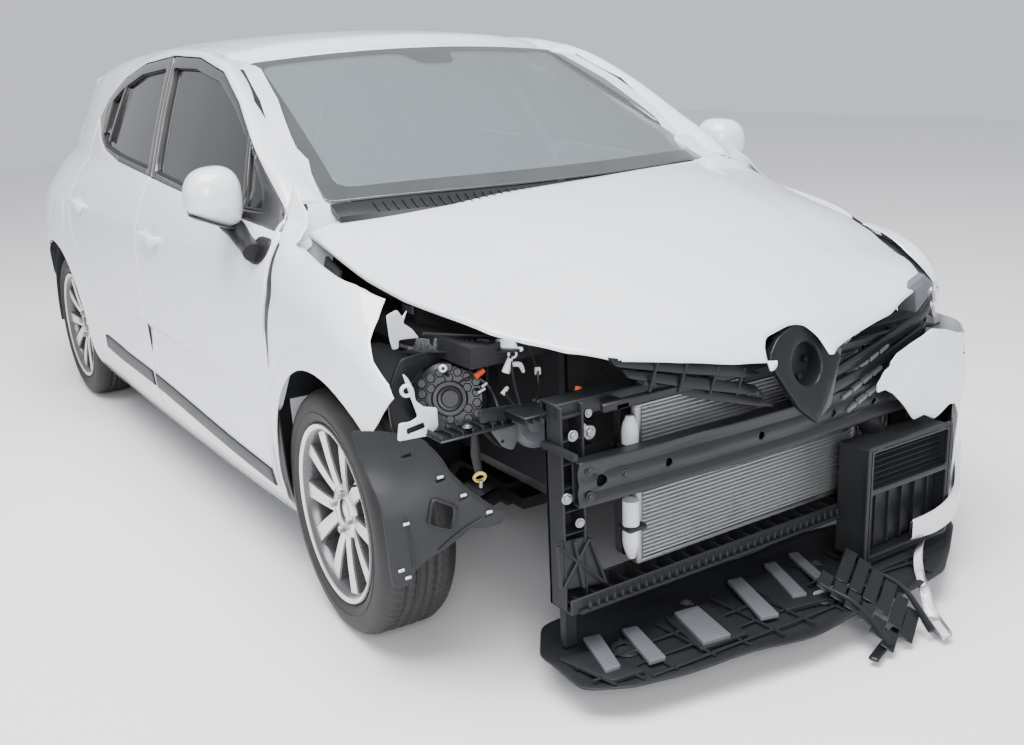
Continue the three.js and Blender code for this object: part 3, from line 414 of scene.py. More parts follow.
def side_skin(x, z):
    """Half width of the finished side: a flat flare band round each arch, the crease and hollow low on the
    doors,
    and a faint shoulder line."""
    y = side_half(x, z)
    for arch in (FRONT_ARCH, REAR_ARCH):
        out = arch_out(x, z, arch)
        y = y + 5 * (1 - smooth(out, 40, 56)) * smooth(z, 200, 300) - 2.5 * (1 - smooth(out, 0,
            12)) * smooth(z, 200, 300)
    below = DOOR_CREASE(x)[0] - z
    reach = smooth(x, -2030, -1960) * (1 - smooth(x, -420, -330))
    hollow = smooth(below, -3, 16) * (1 - smooth(below, 30, 165))
    y = y - 11 * hollow * reach + 2.0 * np.exp(-((below + 8) / 16) ** 2) * reach
    shoulder = z - (872 + 0.012 * (x + 300))
    y = y + 2.2 * np.exp(-(shoulder / 26) ** 2) * smooth(x, -2900, -2500) * (1 - smooth(x, -420, -300))
    return y


def side_surface(side, details=True):
    half = side_skin if details else side_half
    return lambda x, z, depth: xyz(x, side * (half(x, z) - depth), z)


def bonnet_top(x, y):
    """Height of the bonnet: a line along the middle, falling to its edges by a power and leaning to one
    side."""
    half, fall, lean = BONNET_EDGE(x)
    ramp = np.clip((x - 300) / 250, 0, 1)
    set_back = 52 * (np.abs(y) / 553) * ramp
    return BONNET_LINE(x + set_back)[0] + lean * y - fall * (np.abs(y) / half) ** 2.6


def roof_top(x, y):
    return ROOF_LINE(x)[0] - 34 * (y / 560) ** 2 - 16 * (y / 600) ** 6


def tail_face(y, z):
    return TAIL_LINE(z)[0] + 70 * (np.abs(y) / 700) ** 3


# Side outlines, [x, z]
DOOR_FRONT = np.array([[-350, 232], [-345, 400], [-338, 526], [-316, 690], [-286, 800], [-303, 917],
    [-345, 985], [-560, 1116],
                       [-760, 1236], [-950, 1318], [-1200, 1362], [-1456, 1372], [-1396, 1180], [-1334, 1012],
                       [-1335, 232]], float)
DOOR_REAR = np.array([[-1345, 232], [-1346, 1012], [-1414, 1180], [-1480, 1372], [-1800, 1352], [-2050, 1302],
    [-2250, 1224],
                      [-2333, 1160], [-2326, 1050], [-2284, 900], [-2226, 760], [-2150, 640], [-2075, 480],
                      [-2010, 330],
                      [-1992, 232]], float)
GLASS_FRONT = np.array([[-420, 978], [-480, 1036], [-580, 1122], [-770, 1224], [-955, 1296], [-1200, 1334],
    [-1432, 1340],
                        [-1375, 1180], [-1312, 1022], [-1000, 1002], [-600, 980]], float)
GLASS_REAR = np.array([[-1392, 1028], [-1448, 1180], [-1512, 1340], [-1800, 1322], [-2040, 1270],
    [-2200, 1205], [-2150, 1110],
                       [-2060, 1068], [-1800, 1048]], float)


def arch_line(arch, extra, start, end, count):
    """Points of an arch's lip moved out by extra, from one angle to another."""
    angle = np.radians(np.linspace(start, end, count + 1))
    wide = np.where(np.cos(angle) > 0, arch["ahead"], arch["behind"]) + extra
    return xyz(arch["x"] + wide * np.cos(angle), arch["z"] + (arch["high"] + extra) * np.sin(angle))


# ---------------------------------------------------------------- materials
def put_in(tree, socket, value):
    """Links a (node, output) pair into a socket, or sets the socket's own value; a colour gets full alpha."""
    if isinstance(value, tuple) and hasattr(value[0], "outputs"):
        tree.links.new(value[0].outputs[value[1]], socket)
    else:
        socket.default_value = (*value, 1) if socket.type == "RGBA" and len(value) == 3 else value


def node(tree, kind, settings=None, **inputs):
    """A shader node with its settings and inputs; an input that is a (node, output) pair is linked."""
    made = tree.nodes.new("ShaderNode" + kind)
    for key, value in (settings or {}).items():
        setattr(made, key, value)
    for key, value in inputs.items():
        numbered = key[0] == "i" and key[1:].isdigit()
        socket = made.inputs[int(key[1:]) if numbered else key.replace("_", " ")]
        put_in(tree, socket, value)
    return made


def calc(tree, operation, *values):
    """A Math node on numbers or (node, output) pairs."""
    return node(tree, "Math", {"operation": operation}, **{f"i{i}": value for i, value in enumerate(values)})


def group(name, inputs, output, kind="NodeSocketFloat"):
    """An empty shader group with named number inputs and one output."""
    tree = bpy.data.node_groups.new(name, "ShaderNodeTree")
    for label, value in inputs.items():
        socket = tree.interface.new_socket(name=label, in_out="INPUT", socket_type="NodeSocketFloat")
        socket.default_value = value
    tree.interface.new_socket(name=output, in_out="OUTPUT", socket_type=kind)
    return tree, tree.nodes.new("NodeGroupInput"), tree.nodes.new("NodeGroupOutput")


def build_blotches():
    """Mask of soft dirt: two sizes of noise multiplied, then cut off below a level set by Amount."""
    tree, given, out = group("road_grime", {"Scale": 4.0, "Amount": 0.5, "Softness": 0.25}, "Mask")
    place = node(tree, "TexCoord")
    coarse = node(tree, "TexNoise", Vector=(place, "Object"), Scale=(given, "Scale"), Detail=8.0,
        Roughness=0.65)
    more = calc(tree, "MULTIPLY", (given, "Scale"), 9.0)
    fine = node(tree, "TexNoise", Vector=(place, "Object"), Scale=(more, 0), Detail=6.0, Roughness=0.7)
    both = calc(tree, "MULTIPLY_ADD", (fine, 0), 0.35, (coarse, 0))
    start = calc(tree, "SUBTRACT", 1.18, (given, "Amount"))
    high = calc(tree, "ADD", (start, 0), (given, "Softness"))
    mask = node(tree, "MapRange", {"interpolation_type": "SMOOTHSTEP"}, Value=(both, 0), From_Min=(start, 0),
        From_Max=(high, 0))
    tree.links.new(mask.outputs[0], out.inputs[0])
    return tree


def build_low_dirt():
    """Mask that rises towards the ground: spray thrown up by the wheels, broken by noise."""
    tree, given, out = group("low_spray", {"Top": 0.45, "Bottom": 0.1}, "Mask")
    place = node(tree, "TexCoord")
    parts = node(tree, "SeparateXYZ", Vector=(place, "Object"))
    noise = node(tree, "TexNoise", Vector=(place, "Object"), Scale=11.0, Detail=9.0, Roughness=0.7)
    shifted = calc(tree, "MULTIPLY_ADD", (noise, 0), 0.3, (parts, 2))
    mask = node(tree, "MapRange", {"interpolation_type": "SMOOTHSTEP"}, Value=(shifted, 0),
        From_Min=(given, "Top"), From_Max=(given, "Bottom"))
    tree.links.new(mask.outputs[0], out.inputs[0])
    return tree


def build_scratches():
    """Mask of fine scratches: stretched noise turned two ways, kept only near one level so that it draws thin
    lines."""
    tree, given, out = group("fine_scratches", {"Scale": 30.0, "Amount": 0.5}, "Mask")
    place = node(tree, "TexCoord")
    lines = []
    for angle, stretch in ((0.7, 0.05), (-0.5, 0.03)):
        turned = node(tree, "Mapping", Vector=(place, "Object"), Rotation=(0.3, 0.2, angle),
            Scale=(1.0, stretch, 0.6))
        noise = node(tree, "TexNoise", Vector=(turned, 0), Scale=(given, "Scale"), Detail=3.0, Roughness=0.5)
        near = calc(tree, "COMPARE", (noise, 0), 0.5, 0.004)
        lines.append(near)
    both = calc(tree, "MAXIMUM", (lines[0], 0), (lines[1], 0))
    patch = node(tree, "TexNoise", Vector=(place, "Object"), Scale=2.3, Detail=2.0)
    level = calc(tree, "SUBTRACT", 1.05, (given, "Amount"))
    where = calc(tree, "GREATER_THAN", (patch, 0), (level, 0))
    mask = calc(tree, "MULTIPLY", (both, 0), (where, 0))
    tree.links.new(mask.outputs[0], out.inputs[0])
    return tree


def build_grain():
    """Height of a moulded leather grain: cells with a noise of the same scale added to them."""
    tree, given, out = group("moulded_grain", {"Scale": 400.0}, "Height")
    place = node(tree, "TexCoord")
    cells = node(tree, "TexVoronoi", {"feature": "F1"}, Vector=(place, "Object"), Scale=(given, "Scale"))
    noise = node(tree, "TexNoise", Vector=(place, "Object"), Scale=(given, "Scale"), Detail=3.0)
    both = calc(tree, "MULTIPLY_ADD", (noise, 0), 0.6, (cells, 0))
    tree.links.new(both.outputs[0], out.inputs[0])
    return tree


GRIME, SPRAY, SCRATCH, GRAIN = build_blotches(), build_low_dirt(), build_scratches(), build_grain()


def use(tree, shared, **inputs):
    made = tree.nodes.new("ShaderNodeGroup")
    made.node_tree = shared
    for key, value in inputs.items():
        made.inputs[key].default_value = value
    return made


def mix(tree, mask, a, b):
    """A colour between a and b by a mask; a and b are colours or (node, output) pairs."""
    made = tree.nodes.new("ShaderNodeMix")
    made.data_type = "RGBA"
    for index, value in ((0, mask), (6, a), (7, b)):
        put_in(tree, made.inputs[index], value)
    return made, 2


def spread(tree, mask, low, high):
    """A number from low to high by a mask."""
    return node(tree, "MapRange", Value=mask, To_Min=low, To_Max=high), 0


def material(name):
    """A new material's tree, its Principled shader and a helper that links into the shader."""
    made = bpy.data.materials.new(name)
    made.use_nodes = True
    tree = made.node_tree
    shader = tree.nodes["Principled BSDF"]

    def feed(**inputs):
        for key, value in inputs.items():
            put_in(tree, shader.inputs[key.replace("_", " ")], value)

    return made, tree, feed


def bumped(tree, height, strength=0.3, distance=0.001):
    return node(tree, "Bump", Height=height, Strength=strength, Distance=distance), 0


def painted(name, base, rough=0.32, dirt=(0.30, 0.27, 0.24), scratched=0.5, coat=1.0):
    """Car paint: a clear coat over a base with faint orange peel, thin scratches, spray low down and light
    grime."""
    made, tree, feed = material(name)
    place = node(tree, "TexCoord")
    peel = node(tree, "TexNoise", Vector=(place, "Object"), Scale=260.0, Detail=1.0)
    tone = node(tree, "TexNoise", Vector=(place, "Object"), Scale=1.7, Detail=3.0)
    tinted = mix(tree, (tone, 0), base, tuple(c * 0.965 for c in base))
    low = use(tree, SPRAY, Top=0.62, Bottom=0.16)
    thin = calc(tree, "MULTIPLY", (low, 0), 0.34)
    sprayed = mix(tree, (thin, 0), tinted, dirt)
    grime = use(tree, GRIME, Scale=3.0, Amount=0.32, Softness=0.3)
    faint = calc(tree, "MULTIPLY", (grime, 0), 0.16)
    dulled = mix(tree, (faint, 0), sprayed, dirt)
    lines = use(tree, SCRATCH, Scale=26.0, Amount=scratched)
    half = calc(tree, "MULTIPLY", (lines, 0), 0.3)
    scored = mix(tree, (half, 0), dulled, (0.42, 0.43, 0.45))
    feed(Base_Color=scored, Roughness=spread(tree, (grime, 0), rough, rough + 0.25),
        Normal=bumped(tree, (peel, 0), 0.04, 0.0005))
    feed(Coat_Weight=coat, Coat_Roughness=0.06, IOR=1.5)
    return made


def plastic(name, base, rough=0.55, grain=420.0, strength=0.25, dusty=0.35, dust=(0.12, 0.12, 0.118)):
    """Moulded plastic: fine grain, colour that varies a little, pale dust in patches."""
    made, tree, feed = material(name)
    height = use(tree, GRAIN, Scale=grain)
    place = node(tree, "TexCoord")
    tone = node(tree, "TexNoise", Vector=(place, "Object"), Scale=6.0, Detail=5.0)
    tinted = mix(tree, (tone, 0), tuple(c * 0.75 for c in base), tuple(c * 1.3 for c in base))
    grime = use(tree, GRIME, Scale=7.0, Amount=dusty, Softness=0.4)
    thin = calc(tree, "MULTIPLY", (grime, 0), 0.17)
    feed(Base_Color=mix(tree, (thin, 0), tinted, dust), Roughness=spread(tree, (grime, 0), rough,
        min(rough + 0.25, 1)),
         Normal=bumped(tree, (height, 0), strength, 0.0006), Specular_IOR_Level=0.3)
    return made


def metal(name, base, rough=0.35, rust=0.0, metallic=1.0, brushed=90.0):
    """Bare or coated metal: brushed noise in its roughness, dark grime and, where asked, rust in patches."""
    made, tree, feed = material(name)
    place = node(tree, "TexCoord")
    noise = node(tree, "TexNoise", Vector=(place, "Object"), Scale=brushed, Detail=6.0, Roughness=0.7)
    grime = use(tree, GRIME, Scale=9.0, Amount=0.42, Softness=0.35)
    dark = mix(tree, (grime, 0), base, tuple(c * 0.35 for c in base))
    colour, metallic_in = dark, metallic
    if rust:
        spots = use(tree, GRIME, Scale=14.0, Amount=rust, Softness=0.12)
        colour = mix(tree, (spots, 0), dark, (0.16, 0.055, 0.022))
        metallic_in = spread(tree, (spots, 0), metallic, 0.0)
    feed(Base_Color=colour, Metallic=metallic_in, Roughness=spread(tree, (noise, 0), rough - 0.1,
        rough + 0.2),
         Normal=bumped(tree, (noise, 0), 0.12, 0.0005))
    return made


def glass(name, tint, clear=0.85, rough=0.01, haze=0.0):
    """Car glass: a thin tinted sheet, part see-through, with faint dust."""
    made, tree, feed = material(name)
    grime = use(tree, GRIME, Scale=5.0, Amount=0.4, Softness=0.5)
    low, high = 1 - clear, min(1 - clear + 0.12 + haze, 1)
    feed(Base_Color=mix(tree, (grime, 0), tint, tuple(min(c * 1.6 + 0.03, 1) for c in tint)),
         Roughness=spread(tree, (grime, 0), rough, rough + 0.12), Alpha=spread(tree, (grime, 0), low, high))
    feed(IOR=1.5, Coat_Weight=0.6, Coat_Roughness=0.02)
    return made


WHITE = painted("white_paint", (0.80, 0.825, 0.86))
# The body's inner faces: the same white paint coloured darker (0.66 against 0.80) as painted shade, rougher
# and with less clear coat.
WHITE_SHADED_INSIDE = painted("white_paint_inside_shaded", (0.66, 0.68, 0.71), rough=0.5, scratched=0.3, coat=0.2)
GLOSS_BLACK = painted("gloss_black", (0.005, 0.0045, 0.005), rough=0.34, dirt=(0.03, 0.028, 0.027),
    scratched=0.3)
# The engine bay's faces, coloured near black.
BAY_BLACK = plastic("bay_near_black", (0.017, 0.017, 0.019), rough=0.55, grain=60, dusty=0.35)
TRIM_BLACK = plastic("black_trim", (0.011, 0.011, 0.012), rough=0.42, grain=300, strength=0.15)
MOULDED = plastic("black_moulding", (0.016, 0.017, 0.019), rough=0.5, grain=360)
SMOOTH_BLACK = plastic("smooth_black_plastic", (0.010, 0.011, 0.013), rough=0.32, grain=120, strength=0.06,
    dusty=0.3)
GREY_PLASTIC = plastic("grey_plastic", (0.075, 0.08, 0.088), rough=0.5, dusty=0.3)
# Lighter grey than the black plastics: partly worn grey plastic, partly painted sheen, with a little dust.
GREY_WORN_PAINTED_SHEEN = plastic("worn_grey_painted_sheen", (0.12, 0.125, 0.14), rough=0.38, grain=260, strength=0.12, dusty=0.2)
WHITE_PLASTIC = plastic("pale_plastic", (0.62, 0.64, 0.65), rough=0.4, grain=200, strength=0.05,
    dust=(0.2, 0.19, 0.17))
ORANGE = plastic("orange_clip", (0.62, 0.11, 0.03), rough=0.4, strength=0.05)
YELLOW = plastic("yellow_washer", (0.55, 0.42, 0.1), rough=0.45, strength=0.05)
DARK_STEEL = metal("dark_coated_steel", (0.018, 0.019, 0.021), rough=0.34, metallic=0.3)
RAW_STEEL = metal("worn_steel", (0.30, 0.30, 0.31), rough=0.42, rust=0.42)
BOLT_STEEL = metal("zinc_bolt", (0.30, 0.305, 0.31), rough=0.36)
SILVER = metal("silver_strip", (0.80, 0.81, 0.83), rough=0.22)
UNDER_PAINT = painted("grey_underbody", (0.20, 0.205, 0.21), rough=0.6, dirt=(0.13, 0.12, 0.105), coat=0.0)
SIDE_GLASS = glass("side_glass", (0.006, 0.008, 0.0085), clear=0.2)
SCREEN_GLASS = glass("screen_glass", (0.20, 0.235, 0.25), clear=0.52, haze=0.12)
CLEAR_LENS = glass("clear_lens", (0.55, 0.58, 0.60), clear=0.82)
FRIT = plastic("glass_border", (0.055, 0.058, 0.062), rough=0.12, grain=900, strength=0.02, dusty=0.3)


def alloy_finish():
    """Diamond-cut wheel: faces square to the axle are bright and finely turned, the rest is dark grey
    paint."""
    made, tree, feed = material("cut_alloy")
    place = node(tree, "TexCoord")
    parts = node(tree, "SeparateXYZ", Vector=(place, "Normal"))
    square = calc(tree, "ABSOLUTE", (parts, 1))
    face = node(tree, "MapRange", {"interpolation_type": "SMOOTHSTEP"}, Value=(square, 0), From_Min=0.80,
        From_Max=0.9)
    grime = use(tree, GRIME, Scale=12.0, Amount=0.5, Softness=0.4)
    worn = calc(tree, "MULTIPLY", (grime, 0), 0.55)
    cut = mix(tree, (face, 0), (0.10, 0.10, 0.105), (0.70, 0.675, 0.675))
    dirty = mix(tree, (worn, 0), cut, (0.16, 0.13, 0.115))
    turned = node(tree, "TexNoise", Vector=(place, "Object"), Scale=220.0, Detail=2.0)
    feed(Base_Color=dirty, Metallic=spread(tree, (face, 0), 0.35, 0.9),
        Roughness=spread(tree, (grime, 0), 0.27, 0.5),
         Normal=bumped(tree, (turned, 0), 0.05, 0.0004))
    feed(Coat_Weight=0.3, Coat_Roughness=0.1)
    return made


def rubber_finish():
    """Tyre rubber: dark, with a fine pitted grain and pale road dust rubbed into it."""
    made, tree, feed = material("tyre_rubber")
    height = use(tree, GRAIN, Scale=260.0)
    grime = use(tree, GRIME, Scale=10.0, Amount=0.55, Softness=0.5)
    thin = calc(tree, "MULTIPLY", (grime, 0), 0.5)
    feed(Base_Color=mix(tree, (thin, 0), (0.011, 0.011, 0.0115), (0.075, 0.07, 0.063)),
         Roughness=spread(tree, (grime, 0), 0.62, 0.9), Normal=bumped(tree, (height, 0), 0.35, 0.0006))
    return made


def cloth_finish():
    """Woven seat cloth: two crossed waves make the weave, a noise varies its tone."""
    made, tree, feed = material("seat_cloth")
    place = node(tree, "TexCoord")
    waves = []
    for angle in (0.0, 1.5708):
        turned = node(tree, "Mapping", Vector=(place, "Object"), Rotation=(0.4, 0.3, angle))
        waves.append(node(tree, "TexWave", {"wave_type": "BANDS"}, Vector=(turned, 0), Scale=240.0,
            Distortion=0.4))
    weave = calc(tree, "MULTIPLY", (waves[0], 1), (waves[1], 1))
    tone = node(tree, "TexNoise", Vector=(place, "Object"), Scale=18.0, Detail=4.0)
    feed(Base_Color=mix(tree, (tone, 0), (0.022, 0.023, 0.025), (0.045, 0.046, 0.05)), Roughness=0.95,
         Normal=bumped(tree, (weave, 0), 0.5, 0.0008))
    feed(Sheen_Weight=0.3)
    return made


def fin_finish():
    """Radiator core: pale metal darkened in blotches of grime, with a fine ripple across in its bump."""
    made, tree, feed = material("radiator_core")
    place = node(tree, "TexCoord")
    parts = node(tree, "SeparateXYZ", Vector=(place, "Object"))
    along = calc(tree, "MULTIPLY", (parts, 1), 2200.0)
    ripple = calc(tree, "SINE", (along, 0))
    grime = use(tree, GRIME, Scale=6.0, Amount=0.5, Softness=0.5)
    base = mix(tree, (grime, 0), (0.40, 0.41, 0.42), (0.10, 0.10, 0.10))
    feed(Base_Color=base, Metallic=0.75, Roughness=0.42, Normal=bumped(tree, (ripple, 0), 0.25, 0.0005))
    return made


def red_lens_finish():
    made, tree, feed = material("red_lens")
    grime = use(tree, GRIME, Scale=8.0, Amount=0.4, Softness=0.4)
    feed(Base_Color=mix(tree, (grime, 0), (0.36, 0.008, 0.012), (0.2, 0.03, 0.03)),
        Roughness=spread(tree, (grime, 0), 0.08, 0.3),
         Normal=bumped(tree, (use(tree, GRAIN, Scale=160.0), 0), 0.12, 0.0006))
    feed(Coat_Weight=1.0, Coat_Roughness=0.03)
    return made


ALLOY, RUBBER, CLOTH = alloy_finish(), rubber_finish(), cloth_finish()
CORE, RED = fin_finish(), red_lens_finish()


# ---------------------------------------------------------------- body sides, doors and fenders
SHUT_LINE = 5.5  # what the body's openings stand off the doors
SILL_EDGE = 156
PILLAR_TOP = curve([[-1210, 1404], [-1050, 1352], [-820, 1244], [-600, 1136], [-346, 992],
    [-330, 984]])  # x, screen edge's height
TAILGATE_EDGE = curve([[640, 520], [652, 520], [720, 530], [880, 534], [960, 546], [1040, 556], [1230, 508],
    [1335, 484]])


def screen_edge(x):
    """Half width and height of the windscreen's side edge at a station."""
    v = np.clip((-339 - x) / 696, 0, 1)
    return 654 - 94 * v, 997 + 348 * v + 9 * np.sin(np.pi * v)


DOOR_TOP = curve([[-2600, 900], [-2333, 1160], [-2250, 1224], [-2050, 1302], [-1800, 1352], [-1480, 1374],
    [-1200, 1363], [-950, 1319],
                  [-760, 1237], [-560, 1118], [-345, 988], [-300, 925]])


def roof_corner(x):
    """Where the side bends over into the roof or the screen pillar: start height, corner height, and the
    panel's edge beyond."""
    z = np.full_like(x, 1360.0)
    for _ in range(12):
        z = 0.5 * z + 0.5 * roof_top(x, side_half(x, z))
    pillar = smooth(x, -1190, -1040)
    start = np.maximum((z * (1 - pillar) + PILLAR_TOP(x)[0] * pillar) - 55, DOOR_TOP(x)[0] + 9)
    corner = np.maximum(z * (1 - pillar), start + 24)
    edge_y, edge_z = screen_edge(x)
    inner_y = (side_half(x, z) - 78) * (1 - pillar) + (edge_y + 5) * pillar
    inner_z = roof_top(x, inner_y) * (1 - pillar) + (edge_z + 1) * pillar
    return start, corner, inner_y, inner_z


def wrapped_side(side, details=True):
    """The side's surface carried on over the roof's edge: above the bend the height coordinate runs along a
    parabola."""
    half = side_skin if details else side_half

    def surface(x, s, depth):
        z1, z_c, y_b, z_b = roof_corner(x)
        t = np.clip((s - z1) / 120, 0, 1)
        bent = s > z1
        y1, y_c = half(x, z1), side_half(x, z_c)
        y = np.where(bent, y1 * (1 - t) ** 2 + 2 * y_c * t * (1 - t) + y_b * t**2, half(x, s))
        z = np.where(bent, z1 * (1 - t) ** 2 + 2 * z_c * t * (1 - t) + z_b * t**2, s)
        return xyz(x, side * (y - depth * (1 - t)), z - depth * t)

    return surface


def corner_start(z):
    """Where the side ends and the tail's corner begins."""
    return TAIL_LINE(z)[0] + 30 + 170 * (1 - smooth(z, 1050, 1250))


def tail_corner(side):
    """The rounded corner from the side to the tailgate's edge: a parabola in plan at each height."""
    def surface(s, z, depth):
        t = np.clip(s / 220, 0, 1)
        x0 = corner_start(z)
        y2 = TAILGATE_EDGE(z)[0] + 6
        x2 = tail_face(y2, z)
        y0 = side_skin(x0, z)
        y1 = 0.35 * y0 + 0.65 * side_half(x0 - 0.55 * (x0 - x2), z)
        x = x0 * (1 - t) ** 2 + 2 * (x2 + 8) * t * (1 - t) + x2 * t**2
        y = y0 * (1 - t) ** 2 + 2 * y1 * t * (1 - t) + y2 * t**2
        return xyz(x + depth * t, side * (y - depth * (1 - t)), z)

    return surface


def side_outline():
    """The side pressing's edge, [x, height]: front of the sill, both arches, the tail's corner, and the roof
    panel's edge."""
    heights = np.linspace(641, 1300, 16)
    rear = xyz(corner_start(heights), heights)
    stations = np.concatenate([np.linspace(-2905, -1060, 30), np.linspace(-1020, -350, 14)])
    top = xyz(stations, roof_corner(stations)[0] + 120)
    return np.vstack([arch_line(FRONT_ARCH, 26, 152, 196, 8), [[-340, SILL_EDGE], [-2205, SILL_EDGE],
        [-2222, 200]],
                      arch_line(REAR_ARCH, 0, -12, 112, 30), [[-2735, 641]], rear, top,
                      [[-338, 992], [-338, 884], [-190, 846], [-196, 620]]])


def body_side(side, tag):
    """A side pressing: its skin with both door openings, the stepped jambs behind it, and the trim inside."""
    outline = side_outline()
    both = np.vstack([DOOR_FRONT[:12], DOOR_REAR[3:], DOOR_FRONT[-1:]])
    openings = [rounded(grow(both, SHUT_LINE), 12)]
    around = wrapped_side(side)

    def tucked(x, z, depth):
        """The side's surface, let in under the wing ahead of the door."""
        return around(x, z, depth + 12 * smooth(x, -316, -284) * (1 - smooth(z, 930, 960)))

    shell = plate([outline] + openings, tucked, 0.0, 16, step=17, roll=3.5)
    corner = plate([np.array([[0, 641], [0, 1300], [200, 1318], [220, 1318], [220, 641]], float)[::-1],
                    rounded([[92, 700], [70, 770], [78, 880], [110, 975], [219, 982], [219, 700]], 14)],
                   tail_corner(side), 0, 14, step=20, roll=3)
    plain = side_surface(side, details=False)

    def ring_of_steps(door, steps):
        base = dense(grow(door, SHUT_LINE), 60)
        rings = []
        for out, depth in steps:
            x, z = grow(base, out - SHUT_LINE).T
            rings.append(plain(x, z, depth + 62 * smooth(x, -560, -400) * smooth(z, 560, 700) * (depth > 66)))
        return grid(np.array(rings), wrap_u=True, wrap_v=True)

    seals = [ring_of_steps(door, ((SHUT_LINE - 1.5, 7), (SHUT_LINE - 2, 60), (SHUT_LINE + 3, 64),
        (SHUT_LINE + 3, 6)))
             for door in (DOOR_FRONT, DOOR_REAR)]
    jambs = [ring_of_steps(door, ((SHUT_LINE, 60), (SHUT_LINE - 3, 73), (-30, 74), (-46, 77), (-48, 84),
        (-48, 112),
                                  (SHUT_LINE + 4, 112), (SHUT_LINE + 4, 60))) for door in (DOOR_FRONT,
                                  DOOR_REAR)]
    put("side_skin_" + tag, gather(shell, corner), WHITE, replaces="body_side_" + tag)
    put("door_jambs_" + tag, gather(*jambs), WHITE_SHADED_INSIDE)
    put("door_seals_" + tag, gather(*seals), TRIM_BLACK)
    top_limit = roof_corner(outline[:, 0])[0] - 12
    low_edge = np.column_stack([outline[:, 0], np.minimum(outline[:, 1], top_limit)])

    def lining(x, z, depth):
        pillar = smooth(x, -1200, -1000) * smooth(z, 930, 990)
        return plain(x, z, depth - 62 * pillar + 46 * smooth(x, -560, -400) * (1 - pillar))

    trim = plate([low_edge] + [grow(door, -44) for door in (DOOR_FRONT, DOOR_REAR)], lining, 106, 114,
        step=60, roll=0)
    put("side_trim_" + tag, trim, GREY_PLASTIC)


BELT = np.array([[-309, 938], [-600, 967], [-1000, 988], [-1338, 1006]],
    float)  # lower edge of the black window surround
BELT_REAR = np.array([[-1342, 1007], [-1800, 1030], [-2050, 1058], [-2180, 1092], [-2262, 1128],
    [-2318, 1150]], float)


def hinge_leaves(side, x, y):
    """Two pressed hinge leaves on the door's front edge."""
    return [brick(x - 10, x + 26, *sorted((side * (y - 12), side * (y + 3))), z, z + 58, 3) for z in (381,
        641)]


def door_handle(side, x, z):
    """A bow handle over a shallow cup: an ellipse swept along an arch, ends sunk into the skin."""
    t = np.linspace(-1, 1, 25)
    half = side_half(x + 0 * t, z + 0 * t)
    path = xyz(x + 104 * t, side * (half + 22 - 30 * np.abs(t) ** 5), z + 2 * (1 - t**2))
    angle = np.linspace(0, 2 * np.pi, 16, endpoint=False)
    high = 13 * (1 - 0.35 * np.abs(t) ** 3)
    deep = 8 - 1.5 * np.abs(t) ** 2
    rings = xyz(path[:, None, 0] + 0 * angle, path[:, None, 1] + side * deep[:, None] * np.sin(angle),
                      path[:, None, 2] + high[:, None] * np.cos(angle))
    return capped(rings)


def door(side, tag, where, outline, pane, belt, hinge, handle):
    """A door: painted skin with a handle cup, black window surround, lower trim strip, inner card and
    glass."""
    body = f"door_{where}_{tag}"
    outline = grow(outline, 2.0)
    front = where == "front"
    if front:
        lower = np.vstack([outline[:6], belt, outline[-1:]])
        upper = np.vstack([outline[6:-2], [[-1335.5, 1012]], belt[::-1] + [0, 4]])
    else:
        lower = np.vstack([outline[:1], belt, outline[8:]])
        upper = np.vstack([outline[1:8], belt[::-1] + [0, 4]])
    hx, hz = handle
    cup = lambda x, z: 17 * (1 - smooth(np.hypot((x - hx) / 66, (z - hz) / 40), 0.35, 1.0))

    def dished(x, z, depth):
        return xyz(x, side * (side_skin(x, z) - depth - cup(x, z) * (depth < 30)), z)

    skin = plate([rounded(lower, 9)], dished, 0, 52, step=15, roll=3.2)
    put(body + "_skin", gather(skin, door_handle(side, hx, hz), *hinge_leaves(side, *hinge)), WHITE,
        body=body, replaces=body)
    plain = side_surface(side, details=False)
    frame_loops = [rounded(upper, 8), rounded(pane, 16)]
    put(body + "_frame", plate(frame_loops, plain, 0.5, 50, step=26, roll=2.5), GLOSS_BLACK, body=body)
    seal = [grow(rounded(pane, 16), 1), grow(rounded(pane, 16), -6)]
    put(body + "_seal", plate(seal, plain, 9, 30, step=40, roll=2), TRIM_BLACK, body=body)
    put(body + "_pane", plate([grow(rounded(pane, 16), 5)], plain, 17, 21.5, step=60, roll=0), SIDE_GLASS,
        body=body,
        replaces=f"door_{where}_glass_{tag}")
    if front:
        post = [[-640, 1164], [-622, 1170], [-532, 972], [-552, 972]]
        sail = [[-432, 960], [-322, 950], [-352, 985], [-470, 1052], [-486, 1046]]
    else:
        post = [[-1992, 1300], [-2014, 1292], [-2030, 1090], [-2008, 1084]]
        sail = [[-2130, 1110], [-2316, 1152], [-2250, 1208], [-2150, 1244]]
    extras = [plate([rounded(loop, 5)], plain, depth, 24, step=24, roll=2) for loop,
        depth in ((post, 3), (sail, 2))]
    put(body + "_posts", gather(*extras), GLOSS_BLACK, body=body)
    x0, x1 = (-1334, -372) if front else (-1990, -1348)
    xs = np.linspace(x0 + 6, x1 - 6, 26)
    top = TRIM_TOP(xs)[0]
    strip = np.vstack([xyz(xs, top)[::-1], xyz(xs, top - 50)])
    put(body + "_strip", plate([rounded(strip, 3)], side_surface(side), -5, 6, step=22, roll=3.5), TRIM_BLACK,
        body=body)
    card = grow(lower, -34)
    armrest = tube([[hx + 330 * (0.6 if front else 0.3), side * (side_half(hx, 700.0) - 92), 690],
        [hx + 120, side * (side_half(hx, 700.0) - 98), 700],
                    [hx - 40, side * (side_half(hx, 700.0) - 84), 690]], [26, 34, 24], 12, 8, 1.0)
    put(body + "_card", gather(plate([card], plain, 52, 62, step=50, roll=3), armrest), MOULDED, body=body)


